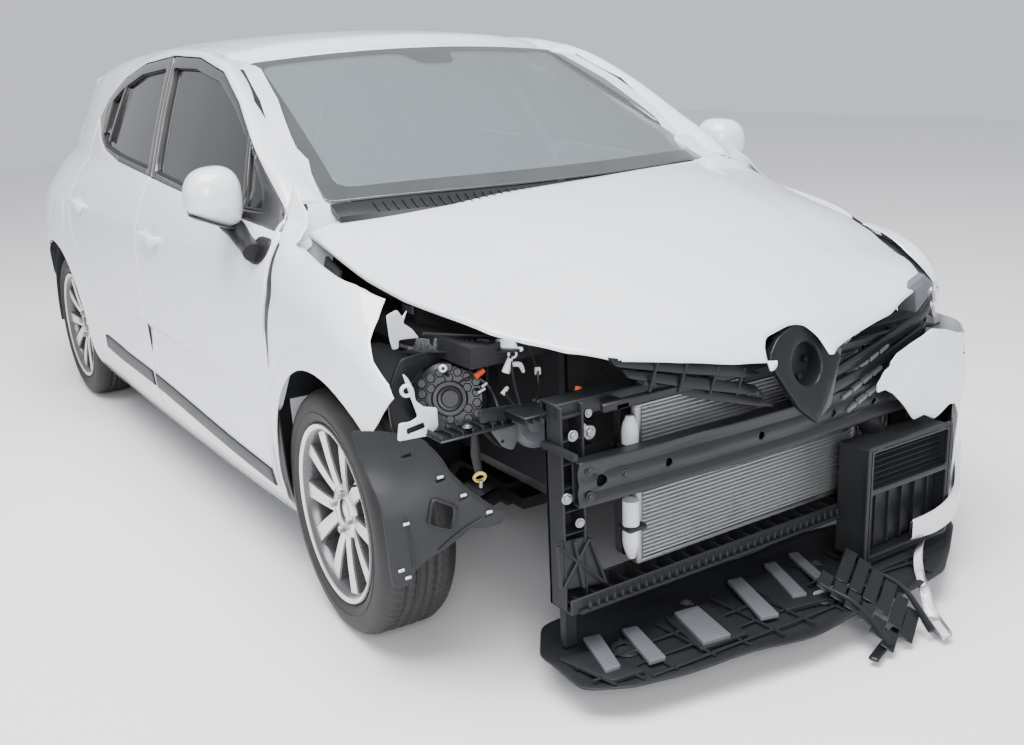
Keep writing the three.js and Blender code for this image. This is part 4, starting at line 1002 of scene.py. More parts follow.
def fender(side, tag):
    """A front wing: the side's skin from the door to the lamp, folded in along its top edge."""
    slip = 10 if side < 0 else 0
    shut = DOOR_FRONT[:6]
    wider = 20 * np.exp(-(((shut[:, 1] - 700) / 230) ** 2)) * (side < 0)
    rear = (shut + np.column_stack([9 + slip + wider, 0 * wider]))[::-1]
    arch = arch_line(FRONT_ARCH, 0, 198, 46, 26)
    arch = arch[(arch[:, 1] > 236) & (arch[:, 0] > -318)]
    front = np.array([[292, 610], [330, 655], [346, 680], [322, 704], [262, 742], [226, 776], [202, 812],
        [172, 846], [90, 870],
                      [0, 884], [-150, 912], [-292, 942]], float)

    def crumpled(x, z, depth):
        near_front = smooth(x, 60, 300)
        dent = 5.5 * np.exp(-(((x + 262) / 34) ** 2 + ((z - 812) / 50) ** 2)) * (side < 0)
        wave = 3.5 * np.sin(x / 34 + z / 60) * near_front * smooth(z, 560, 700)
        return xyz(x, side * (side_skin(x, z) - depth - dent + wave * (side < 0)), z)

    skin = plate([np.vstack([rear, arch, front])], crumpled, 0, 3.2, step=13, roll=2.6)
    flange_x = np.linspace(-288, 150, 24)
    flange_z = np.interp(flange_x, [-292, -150, 0, 90, 165], [941, 911, 883, 869, 847]) - 1.5
    y = side_skin(flange_x, flange_z)
    rows = []
    for inward, down in ((0, 0), (5, 1), (10, 7), (26, 9), (28, 13), (4, 14), (1.5, 10)):
        rows.append(xyz(flange_x, side * (y - inward), flange_z - down))
    # A black strip just behind the wing's rear edge: painted shade, so the shut gap to the door reads dark.
    behind = plate([rounded(np.vstack([shut + [7, 0], (shut + [62, 0])[::-1]]), 4)],
        side_surface(side, False), 4.5, 9, step=30, roll=1)
    foot = plate([rounded([[-334, 1052], [-296, 1022], [-240, 990], [-206, 930], [-230, 902], [-288, 922],
        [-300, 942], [-337, 992]], 6)],
                 side_surface(side, False), 0, 5, step=18, roll=2)
    put("wing_shadow_gap_" + tag, behind, TRIM_BLACK)
    corner = np.array([[-352, 778], [-290, 778], [-250, 764], [-262, 730], [-300, 716], [-340, 704],
        [-304, 640], [-262, 560], [-300, 540], [-420, 590], [-448, 690], [-420, 744]], float)

    def scuttle(x, y, depth):
        """The corner panel: level with the bonnet ahead, rising toward the screen pillar behind."""
        z = bonnet_top(np.maximum(x, -334), side * y) - 12 + 0.62 * np.clip(-340 - x, 0,
            None) + 8 * smooth(-x, 330, 345)
        return xyz(x, side * y, z - depth)

    put("scuttle_corner_" + tag, gather(plate([rounded(corner, 8)], scuttle, 0, 4, step=18, roll=2), foot),
        WHITE)
    put("fender_skin_" + tag, skin, WHITE, replaces="fender_" + tag)
    put("fender_flange_" + tag, capped(np.array(rows).transpose(1, 0, 2)), WHITE_SHADED_INSIDE)


def mirror(side, tag):
    """A door mirror: a tall egg-shaped cap cut off slantwise below, on a black lip and an arm that runs down
    to the door."""
    def shaped(p):
        x, y, z = np.moveaxis(p, -1, 0)
        outer = y / 73
        z = np.where(z < 0, z * (0.86 - 0.34 * outer), z * (0.96 - 0.06 * outer)) + 6
        x = x * (1 - 0.10 * outer) + 10 * outer
        x = np.where(x < -34, -34 + (x + 34) * 0.2, x)
        return xyz(x, side * y, z)

    place = (-516, side * 884, 1014)
    cap = moved(cushion((150, 148, 166), square=0.78, rows=26, shape=shaped), offset=place)
    put("mirror_cap_" + tag, cap, WHITE, body="door_front_" + tag, replaces="mirror_" + tag,
        weld=0.01)

    def lip(p):
        q = shaped(p)
        return xyz(q[..., 0], q[..., 1], -0.86 * 74 + 0.40 * 74 * p[..., 1] / 73 + 0.16 * p[..., 2] + 4)

    rim = moved(cushion((132, 132, 60), square=0.7, rows=12, shape=lip), offset=place)
    arm = tube([[-520, side * 848, 952], [-478, side * 838, 930], [-420, side * 838, 905],
        [-350, side * 848, 893]], [30, 30, 27, 30], 16, 8, 0.8)
    foot = plate([rounded([[-392, 930], [-318, 926], [-312, 890], [-340, 862], [-398, 866]], 20)],
        side_surface(side, False), -7, 4, step=16, roll=5)
    glass_face = moved(cushion((6, 118, 116), square=0.5, rows=12), offset=(-558, side * 884, 1016))
    put("mirror_base_" + tag, gather(rim, arm, foot), TRIM_BLACK, body="door_front_" + tag, weld=0.01)
    put("mirror_face_" + tag, glass_face, SILVER, body="door_front_" + tag, weld=0.01)


for side, tag in SIDES:
    body_side(side, tag)
    door(side, tag, "front", DOOR_FRONT, GLASS_FRONT, BELT, (-392, 845), (-1190, 842))
    door(side, tag, "rear", DOOR_REAR, GLASS_REAR, BELT_REAR, (-1390, 865), (-2120, 862))
    fender(side, tag)
    mirror(side, tag)


# ---------------------------------------------------------------- roof, screens, bonnet and tail
def roof_surface(x, y, depth):
    """The roof, with a shallow pressed channel near each side."""
    front = 24 * smooth(x + 50 * (y / 560) ** 2, -1120, -1002)
    channel = front + 3.0 * np.exp(-((np.abs(y) - 500) / 14) ** 2) * smooth(x, -2820,
        -2760) * (1 - smooth(x, -1180, -1120))
    return xyz(x, y, roof_top(x, y) - depth - channel)


def roof():
    x = np.linspace(-2862, -1046, 40)
    edge = xyz(x, roof_corner(x)[2] - 3)
    across = np.linspace(-1, 1, 21)
    front = xyz(-993 - 50 * across**2, 560 * across)
    rear = xyz(tail_face(520 * across, 1335.0) + 54, 520 * across)
    outline = np.vstack([edge * [1, -1], front[1:-1], edge[::-1], rear[::-1][1:-1]])
    put("roof_skin", plate([outline], roof_surface, 0, 14, step=28, roll=3.5), WHITE, replaces="roof")
    lining = plate([grow(outline, -50)], roof_surface, 34, 40, step=70, roll=0)
    put("head_lining", lining, GREY_PLASTIC)
    whip = rod((-2690, 0, 1386), (-2790, 0, 1436), 3.4, 2.2, 10)
    foot = cushion((88, 36, 26), square=0.8, rows=10)
    put("aerial", gather(whip, moved(foot, offset=(-2690, 0, 1378))), TRIM_BLACK, weld=0.01)


# The windscreen's spans: across from its middle, and up from its lower edge.
SCREEN_U, SCREEN_V = 600.0, 760.0


def screen_surface(a, b, depth):
    """The windscreen: lower edge to upper edge in straight lines, raised by a sine bulge."""
    u, v = a / SCREEN_U, b / SCREEN_V
    low = xyz(-140 - 199 * np.abs(u) ** 2.2, 654 * u, 1015 - 18 * u**4)
    high = xyz(-985 - 50 * u**2, 560 * u, 1372 - 27 * u**2)
    bulge = 14 * np.sin(np.pi * v) * (1 - 0.3 * u**2) - depth
    return low + (high - low) * v[..., None] + bulge[..., None] * np.array([0.39, 0, 0.92])


def windscreen():
    outer = rounded([[-599, 2], [599, 2], [599, 758], [-599, 758]], 26)
    clear = rounded([[-560, 52], [560, 52], [566, 722], [90, 722], [64, 640], [-64, 640], [-90, 722],
        [-566, 722]], 40)
    put("windscreen_glass", plate([outer], screen_surface, 0, 5, step=40, roll=1.2), SCREEN_GLASS,
        replaces="windscreen")
    put("windscreen_border", plate([grow(outer, -3), clear[::-1]], screen_surface, -0.5, 0.6, step=40,
        roll=0), FRIT)
    housing = plate([rounded([[-52, 640], [52, 640], [78, 744], [-78, 744]], 18)], screen_surface, 7, 52,
        step=20, roll=12)
    stem = moved(cushion((46, 250, 84), square=0.5, rows=16), turn((0, 1, 0), -16), (-1080, 0, 1262))
    put("mirror_inside", gather(housing, stem, rod((-1040, 0, 1318), (-1076, 0, 1280), 9)), MOULDED,
        weld=0.01)
    a = np.linspace(-590, 590, 60)
    low = screen_surface(a, 0 * a, 6.0)
    rows = [low + [2, 0, 0], low + [10, 0, -2], low + [54, 0, -26], low + [58, 0, -40], low + [6, 0, -20]]
    ribs = [moved(brick(-20, 20, -1.6, 1.6, -2, 3, 1), turn((0, 1, 0), 27),
        (p[0] + 36, p[1], p[2] - 14)) for p in low[4:-4:1]]
    put("scuttle", gather(capped(np.array(rows).transpose(1, 0, 2)), *ribs), SMOOTH_BLACK)


NOTCH = [[700, -128], [664, -112], [650, -92], [646, -20], [650, 22], [668, 46],
    [701, 62]]  # where the badge's seat is cut out of the lip


def bonnet_skin(x, y, depth):
    """The bonnet: its plain top, a soft raised band along the middle, the folded lip, and the buckles the
    crash left near it."""
    z = bonnet_top(x, y) - depth
    z = z + 3.5 * (1 - smooth(np.abs(y) - 0.24 * (650 - x), 250, 330)) * smooth(x, -240,
        -40) * (1 - smooth(x, 420, 640))
    lip = smooth(x + 90 * (np.abs(y) / 480) ** 2, 470, 690)
    z = z + lip * (1.6 * np.sin(y / 61 + 0.6) + 0.8 * np.sin(y / 23 - x / 40)) * (depth < 12)
    for size, at_x, long, at_y, wide in ((-6, 560, 46, -330, 120), (5, 520, 30, -60, 150),
            (-4, 430, 24, -470, 90)):
        z = z + size * np.exp(-(((x - at_x) / long) ** 2 + ((y - at_y) / wide) ** 2))
    return xyz(x, y, z)


def bonnet():
    u = np.linspace(-1, 1, 25)
    rear = xyz(-122 - 212 * np.abs(u) ** 2.2, 700 * u)
    side = [[-300, 722], [-150, 718], [0, 712], [150, 700], [300, 672], [400, 640], [480, 600], [545, 553],
        [600, 470], [640, 330],
            [665, 200], [686, 90]]
    right = [[x, -y] for x, y in side]
    outline = np.vstack([rear[1:-1], side, NOTCH[::-1], right[::-1]])
    outline[:, 0] += 2 * np.sin(outline[:, 1] / 37) * (outline[:, 0] > 420)
    put("bonnet_skin", plate([rounded(outline, 9)], bonnet_skin, 0, 9, step=17, roll=5), WHITE, body="bonnet",
        replaces="bonnet")
    inner = grow(outline[(outline[:, 0] < 640)], -26)
    holes = [[[-60, -40], [-60, 40], [330, 30], [330, -30]], [[-80, 120], [-120, 330], [60, 300], [330, 110]],
             [[-160, 420], [-230, 600], [100, 600], [60, 400]], [[160, 330], [200, 560], [400, 500],
             [440, 220]]]
    holes = [rounded(np.array(h, float), 34) for h in holes[:1]] + [
        rounded(np.array(h, float) * [1, s], 34) for h in holes[1:] for s in (1, -1)]
    put("bonnet_frame", plate([rounded(inner, 20)] + holes, lambda x, y, d: xyz(x, y, bonnet_top(x, y) - d),
        10, 20, step=40, roll=0),
        WHITE_SHADED_INSIDE, body="bonnet")


def tail_surface(y, z, depth):
    """The tailgate: a plain face with the plate's shallow recess and a crease above it."""
    recess = 16 * (1 - smooth(np.abs(y), 275, 300)) * smooth(z, 712, 728) * (1 - smooth(z, 850, 866))
    crease = 5 * smooth(z, 893, 903) * (1 - smooth(z, 903, 985))
    return xyz(tail_face(y, z) + depth + (recess + crease) * (depth < 25), y, z)


def tailgate():
    z = np.linspace(655, 1334, 30)
    half = TAILGATE_EDGE(z)[0] - 2.5
    outline = np.vstack([xyz(-half, z)[::-1], xyz(half, z)])
    pane = rounded([[-400, 1290], [-470, 1180], [-500, 1010], [-440, 985], [440, 985], [500, 1010],
        [470, 1180], [400, 1290]], 34)
    put("tailgate_skin", plate([rounded(outline, 6), pane], tail_surface, 0, 30, step=19, roll=4), WHITE,
        body="tailgate",
        replaces="tailgate")
    glass_plate = plate([grow(pane, 4)], lambda y, z, d: xyz(tail_face(y, z) + d, y, z), 7, 11.5, step=60,
        roll=0)
    put("tailgate_pane", glass_plate, SIDE_GLASS, body="tailgate", replaces="tailgate_glass")
    ring = plate([grow(pane, -1), grow(pane, -16)[::-1]], lambda y, z, d: xyz(tail_face(y, z) + d, y, z), 12,
        20, step=40, roll=0)
    wiper = gather(tube([[-3050, 0, 1010], [-3062, 60, 1012], [-3046, 330, 1040]], [9, 8, 4], 10, 8, 0.6),
                   moved(disc([[0.1, 14], [24, 14], [26, 8], [26, -6], [18, -14], [0.1, -16]], 24),
                   facing((-1, 0, 0.4)), (-3060, 0, 1010)))
    handle = moved(cushion((18, 300, 26), square=0.5, rows=12), offset=(-3172, 0, 882))
    card = plate([rounded([[-460, 690], [460, 690], [470, 960], [-470, 960]], 40)],
                 lambda y, z, d: xyz(tail_face(y, z) + d, y, z), 31, 40, step=60, roll=0)
    put("tailgate_trim", gather(ring, wiper, handle, card), TRIM_BLACK, body="tailgate", weld=0.01)
    blank = plate([rounded([[-260, 732], [260, 732], [260, 846], [-260, 846]], 8)],
                  lambda y, z, d: xyz(tail_face(y, z) + d, y, z), 9, 13, step=60, roll=1.5)
    put("blank_number_plate", blank, WHITE_PLASTIC, body="tailgate")
    brake = plate([rounded([[-150, 1304], [150, 1304], [146, 1318], [-146, 1318]], 5)],
                  lambda y, z, d: xyz(tail_face(y, z) + d, y, z), -3, 6, step=60, roll=2)
    put("high_brake_lamp", brake, RED, body="tailgate")


def tail_lamp(side, tag):
    """A tail lamp round the corner: a domed red lens over a stepped body."""
    loop = rounded([[94, 703], [73, 770], [81, 880], [112, 972], [214, 979], [214, 703]], 12)
    skin = tail_corner(side)
    domed = lambda s, z, d: skin(s, z, d - 5 * np.sin(np.pi * np.clip((z - 700) / 280, 0, 1)) * (d < 8))
    put("tail_lens_" + tag, plate([loop], domed, 2, 9, step=18, roll=3), RED, replaces="tail_lamp_" + tag)
    bulbs = [moved(disc([[0.1, 4], [30, 4], [34, -6], [34, -10], [26, -4], [0.1, 2]], 28),
        facing(unit(np.array([-1, side * 1.1, 0]))),
                   (-3080 + 26 * i, side * (652 + 10 * i), 770 + 72 * i)) for i in range(3)]
    put("tail_lamp_body_" + tag, gather(plate([grow(loop, -1)], skin, 34, 60, step=40, roll=0), *bulbs),
        MOULDED, weld=0.01)


BUMPER_PLAN = np.array([[-2728, 884], [-2790, 874], [-2850, 862], [-2920, 843], [-2990, 818], [-3050, 790],
    [-3100, 757], [-3140, 718],
                        [-3170, 668], [-3188, 600], [-3200, 500], [-3210, 380], [-3216, 250], [-3220, 0]],
                        float)


def bumper_surface():
    """The rear bumper: its plan curve by arc length, drawn in below and at its top edge."""
    plan = np.vstack([BUMPER_PLAN, BUMPER_PLAN[-2::-1] * [1, -1]])[::-1]
    run = np.concatenate([[0], np.cumsum(np.linalg.norm(np.diff(plan, axis=0), axis=1))])
    run -= run[-1] / 2
    shape = curve(np.column_stack([run, plan]))
    step = 4.0

    def surface(s, z, depth):
        x, y = shape(s)
        xa, ya = shape(s + step)
        along = unit(xyz(xa - x, ya - y))
        inward = xyz(-along[..., 1], along[..., 0])
        inset = depth + 26 * (1 - smooth(z, 225, 330)) + 5 * smooth(z, 600,
            645) + 5 * np.exp(-((z - 470) / 12) ** 2)
        inset = np.minimum(inset, 60)
        inward = inward * np.where(np.sum(inward * xyz(-2600 - x, -y), -1, keepdims=True) < 0, -1, 1)
        return xyz(x + inward[..., 0] * inset, y + inward[..., 1] * inset, z)

    side_s = lambda x: np.interp(x, BUMPER_PLAN[::-1, 0], run[-len(BUMPER_PLAN):])
    return surface, side_s


def rear_bumper():
    surface, side_s = bumper_surface()
    arch = arch_line(REAR_ARCH, 0, 112, 191, 26)
    arch = arch[(arch[:, 1] < 640) & (arch[:, 1] > 236)]
    left = xyz(-np.abs(side_s(arch[:, 0])), arch[:, 1])
    outline = np.vstack([left, left[::-1] * [-1, 1]])
    sensors = [rounded(xyz(c + 11 * np.cos(np.linspace(0, 2 * np.pi, 16, endpoint=False)),
                                 520 + 11 * np.sin(np.linspace(0, 2 * np.pi, 16, endpoint=False))),
                                 1) for c in (-520, -200, 200, 520)]
    put("bumper_skin_rear", plate([outline] + sensors, surface, 0, 6, step=19, roll=3), WHITE,
        replaces="bumper_rear")
    low = rounded([[-760, 240], [760, 240], [640, 352], [-640, 352]], 20)
    slats = [plate([rounded([[-300, z], [300, z], [300, z + 10], [-300, z + 10]], 4)], surface, -7, 2,
        step=40, roll=2) for z in (262, 284, 306)]
    caps = [plate([ring], surface, 1, 12, step=40, roll=0) for ring in sensors]
    put("bumper_insert_rear", gather(plate([low], surface, -4, 5, step=30, roll=3), *slats, *caps),
        TRIM_BLACK)
    for side, tag in ((-1, "a"), (1, "b")):
        strip = rounded([[side * 700, 372], [side * 850, 380], [side * 850, 398], [side * 700, 392]], 5)
        put("rear_reflector_" + tag, plate([strip], surface, -3, 6, step=40, roll=2), RED)


roof()
windscreen()
bonnet()
tailgate()
rear_bumper()
for side, tag in SIDES:
    tail_lamp(side, tag)
flap = [[-2440 + 74 * math.cos(a) * 1.15, 800 + 74 * math.sin(a)] for a in np.linspace(0, 2 * np.pi, 28,
    endpoint=False)]
put("fuel_flap", gather(plate([flap], side_surface(RIGHT), -1.2, 4, step=16, roll=2.5)), WHITE)


# ---------------------------------------------------------------- wheels
KING_LOW, KING_TOP = np.array([-8.0, 672, 178]), np.array([-8.0, 556,
    800])  # the steering axis on the left side


def steered(side, degrees=-3.0):
    """A front wheel's centre and turn: turned with its knuckle about the leaning steering axis."""
    mirror_y = np.array([1, side, 1])
    low, high = KING_LOW * mirror_y, KING_TOP * mirror_y
    about = turn(unit(high - low), degrees)
    centre = low + about @ (np.array([-8, side * 754, 303]) - low)
    return centre, about @ (turn((0, 0, 1), 180) if side > 0 else np.eye(3))


WHEELS = {  # body: centre, turn; the outboard face looks along minus y before the turn
    "front_right": steered(RIGHT),
    "front_left": steered(LEFT),
    "rear_right": ((-2583, -747, 303), np.eye(3)),
    "rear_left": ((-2583, 747, 303), turn((0, 0, 1), 180)),
}
RIM_PROFILE = [[196, -70], [199, -80], [205, -88], [213, -92], [219, -93], [222, -90], [221, -84], [216, -80],
    [213, -72], [208, -62],
               [206, -40], [204, 0], [206, 50], [212, 72], [219, 82], [221, 86], [218, 90], [212, 90],
               [206, 82], [200, 60], [196, 0],
               [194, -30], [192, -56]]
SPOKE_STATIONS = [[44, 9, 15, -58, 34], [64, 14, 18, -64, 34], [90, 24, 19, -69, 32], [130, 39, 21, -74, 31],
    [170, 54, 24, -77, 31],
                  [196, 64, 27, -79, 33], [209, 69, 30, -80, 33]]  # radius, sideways, half width, face, depth


def spoke(lean, at):
    """One arm of a spoke pair: a chamfered section swept from the hub to the rim."""
    rings = []
    for radius, aside, half, face, deep in SPOKE_STATIONS:
        x = lean * aside
        section = [[-half + 3.5, 0], [half - 3.5, 0], [half, 4], [half - 4, deep], [-half + 4, deep],
            [-half, 4]]
        rings.append([[x + sx, face + sy, radius] for sx, sy in section])
    points, faces = capped(np.array(rings, float))
    return moved((points, faces), turn((0, 1, 0), at))


def rim(start):
    arms = [spoke(lean, start + 72 * i) for i in range(5) for lean in (-1, 1)]
    hub = disc([[0.1, -52], [27, -52], [30, -55], [30, -62], [34, -65], [62, -64], [72, -56], [74, -30],
        [70, -12], [0.1, -12]], 60)
    nuts = []
    for i in range(4):
        angle = math.radians(45 + 90 * i + start)
        place = (48 * math.sin(angle), -66, 48 * math.cos(angle))
        nuts.append(moved(disc([[0.1, 2], [10.5, 2], [10.5, -9], [8.5, -12], [0.1, -12]], 6), offset=place))
    cap = disc([[0.1, -60], [16, -60], [25, -58], [27, -55], [27, -50], [0.1, -50]], 40)
    return lathe(RIM_PROFILE, 96), gather(*arms), gather(hub, cap), gather(*nuts)


def tread(angle, y, r):
    """Grooves cut in the tread: four straight ones round it, slanted sipes across, and blocks at the
    shoulders."""
    on_tread = smooth(r, 296, 301)
    round_grooves = sum(np.exp(-(((y - c) / 4.2) ** 4)) for c in (-36, -12, 12, 36))
    slanted = np.abs(np.sin(angle * 38 + 0.05 * y * np.sign(y))) ** 14 * (np.abs(y) > 18)
    shoulder = np.abs(np.sin(angle * 38 + 1.2)) ** 10 * smooth(np.abs(y), 60,
        72) * (1 - smooth(np.abs(y), 88, 92))
    return -6.0 * on_tread * np.clip(round_grooves + 0.5 * slanted, 0, 1) - 2.2 * shoulder * smooth(r, 283,
        290)


def tyre_profile():
    wall = [[209, -58], [214, -74], [221, -84], [227, -90], [236, -94], [246, -97], [247, -99], [249, -99],
        [250, -97], [262, -97.5],
            [274, -95], [283, -91], [291, -84], [297, -74], [300, -68]]
    middle = [[302.6 - 0.0006 * y * y * 0.5, y] for y in np.linspace(-62, 62, 41)]
    inside = [[206, 40], [205, 0], [206, -40]]
    return wall + middle + [[r, -y] for r, y in wall[::-1]] + inside


for tag, (centre, turned) in WHEELS.items():
    start = -36 if "right" in tag else 36
    rim_ring, arms, hub, nuts = rim(start)
    body = "wheel_" + tag
    place = lambda piece: moved(piece, turned, centre)
    put("rim_ring_" + tag, place(rim_ring), ALLOY, body=body, replaces="rim_" + tag)
    put("rim_spokes_" + tag, place(gather(arms, hub)), ALLOY, body=body, sharp=40)
    put("wheel_nuts_" + tag, place(nuts), BOLT_STEEL, body=body)
    put("tyre_tread_" + tag, place(lathe(tyre_profile(), 304, wobble=tread)), RUBBER, body=body,
        replaces="tyre_" + tag)
    front = "front" in tag
    brake_disc = lathe([[60, 8], [66, 4], [128, 4], [130, 6], [130, 12], [126, 15], [80, 15], [80, 19],
        [126, 19], [130, 22], [130, 28],
                        [128, 30], [62, 30], [58, 20]], 64) if front else disc(
        [[0.1, 6], [96, 6], [104, 2], [116, 2], [118, 6], [118, 40], [112, 46], [0.1, 46]], 56)
    put("brake_disc_" + tag, place(brake_disc), RAW_STEEL, body=body)
    valve = rod((0, -84, 0), (0, -100, 0), 3.4, 2.4, 8)
    put("tyre_valve_" + tag, place(moved(valve, offset=(190 * math.sin(0.9), 0, 190 * math.cos(0.9)))),
        MOULDED, body=body)


# ---------------------------------------------------------------- the bared front
def holed(loops, low, high, axis, step=40, roll=1.2):
    """A flat plate with holes, its outline in the two other axes and its thickness along the axis named."""
    def surface(a, b, depth):
        level = high - depth + 0 * a
        return np.stack({"x": (level, a, b), "y": (a, level, b), "z": (a, b, level)}[axis], -1)

    return plate(loops, surface, 0, high - low, step=step, roll=roll)


def ring_of(cx, cy, radius, count=20):
    t = np.linspace(0, 2 * np.pi, count, endpoint=False)
    return xyz(cx + radius * np.cos(t), cy + radius * np.sin(t))


def rectangle(x0, x1, y0, y1, radius=6):
    return rounded([[x0, y0], [x1, y0], [x1, y1], [x0, y1]], radius)


def beam_face(y, z, depth):
    """The crash beam's front: bowed in plan, with two long swages and a dent near its right end."""
    bow = 614 - 20 * (y / 560) ** 2
    swage = 7 * np.exp(-(((z - 512) / 11) ** 2)) + 7 * np.exp(-(((z - 470) / 11) ** 2))
    dent = 6 * np.exp(-(((y + 250) / 60) ** 2 + ((z - 520) / 26) ** 2))
    return xyz(bow - depth - (swage + dent) * (depth < 20), y, z)


def crash_beam():
    outline = rectangle(-560, 560, 441, 541, 8)
    holes = [ring_of(y, 491, r) for y, r in ((-505, 13), (-330, 9), (-60, 9), (180, 9), (330, 9), (505, 13))]
    front = plate([outline] + holes, beam_face, 0, 4, step=16, roll=3)
    back = plate([grow(outline, -3)], beam_face, 30, 34, step=40, roll=1)
    top = plate([rectangle(-558, 558, 4, 32, 2)], lambda y, d, depth: beam_face(y, 541 - depth,
        0 * y) * 1.0 - xyz(d, 0 * d, 0 * d), 0, 4, step=40, roll=0)
    foot = plate([rectangle(-558, 558, 4, 32, 2)], lambda y, d, depth: beam_face(y, 441 + depth,
        0 * y) - xyz(d, 0 * d, 0 * d), 0, 4, step=40, roll=0)
    cans = []
    for side in (-1, 1):
        y0, y1 = sorted((side * 408, side * 462))
        cans += [holed([rectangle(482, 574, 449, 497, 3), ring_of(530, 473, 10)], y, y + 3, "y") for y in (y0,
            y1 - 3)]
        cans += [brick(482, 574, y0 + 2, y1 - 2, 446, 450, 1), brick(482, 574, y0 + 2, y1 - 2, 496, 500, 1),
                 holed([rectangle(side * 435 - 60, side * 435 + 60, 420, 526, 8)] + [ring_of(side * 435 + a,
                 473 + b, 5, 12)
                       for a in (-46, 46) for b in (-40, 40)], 478, 484, "x")]
    put("beam_steel", gather(front, back, top, foot, *cans), DARK_STEEL, replaces="crash_beam")
    bolts = [bolt((612 - 20 * (y / 560) ** 2, y, z), (1, 0, 0), 7) for y,
        z in ((-535, 462), (-535, 520), (535, 462), (535, 520), (-446, 491), (446, 491))]
    put("beam_bolts", gather(*bolts), DARK_STEEL)


def radiator():
    """The condenser: folded fins between flat tubes, end tanks, and the drier's pale tube beside it."""
    tubes = [brick(526, 541, -352, 336, z, z + 4.0, 1) for z in np.arange(252, 606, 9.4)]
    z, y = np.arange(256, 602, 9.4), np.linspace(-350, 334, 343)
    rows = []
    for level in z:
        wave = 2.1 * np.sign(np.sin(np.arange(len(y)) * np.pi + 0.5))
        rows.append(capped(np.stack([xyz(x + 0 * y, y, level + 2.6 + wave + dz)
                                     for x, dz in ((527, -0.4), (539, -0.4), (539, 0.4), (527, 0.4))], 1)))
    put("condenser_fins", gather(*tubes, *rows), CORE, replaces="radiator", recalc=False)
    tanks = [tube([[534, y, 244], [534, y, 430], [534, y, 612]], [12, 12, 12], 16, 10) for y in (-362, 344)]
    frame_bars = [brick(522, 546, -372, 352, z, z + 10, 3) for z in (240, 606)]
    drier = tube([[540, -384, 262], [542, -387, 300], [543, -387, 400]], [9, 19, 19], 18, 6)
    drier2 = tube([[543, -387, 440], [542, -386, 560], [540, -384, 592]], [19, 19, 9], 18, 6)
    clamps = [brick(520, 564, -408, -356, z, z + 12, 3) for z in (330, 520)]
    put("condenser_tanks", gather(*tanks, *frame_bars), RAW_STEEL)
    put("drier_tube", gather(drier, drier2), WHITE_PLASTIC)
    fan = holed([rectangle(-374, 350, 240, 618, 20), ring_of(-180, 425, 150, 40), ring_of(170, 425, 150, 40)],
        470, 492, "x", 40, 3)
    blades = []
    for cy in (-180, 170):
        blades.append(moved(disc([[0.1, -8], [44, -8], [48, -3], [48, 12], [0.1, 12]], 30), facing((1, 0, 0)),
            (478, cy, 425)))
        for i in range(7):
            a = 2 * np.pi * i / 7
            along, across = np.array([0, math.cos(a), math.sin(a)]), np.array([0, -math.sin(a), math.cos(a)])
            ring = [np.array([478, cy, 425]) + along * r + across * w * k + np.array([d * k, 0, 0])
                    for r, w, d in ((44, 14, 8), (100, 24, 6), (146, 30, 4)) for k in (-1, 1)]
            top = np.array(ring).reshape(3, 2, 3)
            rings = np.concatenate([top, top[:, ::-1] - [2.5, 0, 0]], 1)
            blades.append(capped(rings))
    put("fan_shroud", gather(fan, *clamps, *blades), MOULDED)


def front_carrier():
    """The front carrier: ribbed uprights, cross members, and the right lamp's mounting arms."""
    pieces = []
    for side in (-1, 1):
        y0, y1 = sorted((side * 520, side * 580))
        pieces += [brick(500, 512, y0, y1, 196, 655, 3), brick(500, 560, y0, y0 + 6, 196, 655, 2),
            brick(500, 560, y1 - 6, y1, 196, 655, 2)]
        for z in np.arange(214, 640, 52):
            pieces += [brick(506, 556, y0 + 2, y1 - 2, z, z + 3.5, 1)]
        pieces.append(holed([rounded([[side * 470, 232], [side * 592, 252], [side * 600, 362],
            [side * 512, 356]], 8)], 552, 557, "x", 30, 1.5))
        for a, b in (((478, 238), (596, 356)), ((588, 256), (516, 352)), ((534, 244), (556, 358)),
                ((474, 236), (514, 352)), ((592, 254), (598, 358))):
            pieces.append(tube([[562, side * a[0], a[1]], [562, side * b[0], b[1]]], [4, 4], 6, 1))
        pieces.append(holed([rectangle(506, 620, z0 := 560, 574, 4)], min(y0, y1) - 14 if side < 0 else y1,
            (min(y0, y1) - 2) if side < 0 else y1 + 12, "y"))
    pieces += [brick(500, 580, -580, 580, 196, 201, 2), brick(500, 506, -580, 580, 198, 232, 2),
        brick(573, 580, -580, 580, 198, 232, 2)]
    pieces += [brick(505, 575, y, y + 3, 200, 230, 1) for y in np.arange(-560, 561, 46)]
    pieces += [brick(486, 545, -580, 580, 653, 658, 2), brick(486, 492, -580, 580, 624, 656, 2),
        brick(539, 545, -580, 580, 622, 656, 2)]
    pieces += [brick(490, 541, y, y + 3, 625, 655, 1) for y in np.arange(-565, 566, 41)]
    pieces += [tube([[584, y, 206], [592, y, 214], [590, y, 226]], [3, 4, 3], 6, 3) for y in np.arange(-540,
        541, 22)]
    pieces += [tube([[586, -560, 202], [588, 0, 200], [586, 560, 202]], [5, 5, 5], 8, 8)]
    latch = gather(brick(492, 556, -64, 64, 600, 652, 5), tube([[546, -24, 652], [548, -24, 676],
        [548, 24, 676], [546, 24, 652]], 6, 10, 8))
    put("carrier_frame", gather(*pieces, latch), MOULDED, replaces="front_carrier")


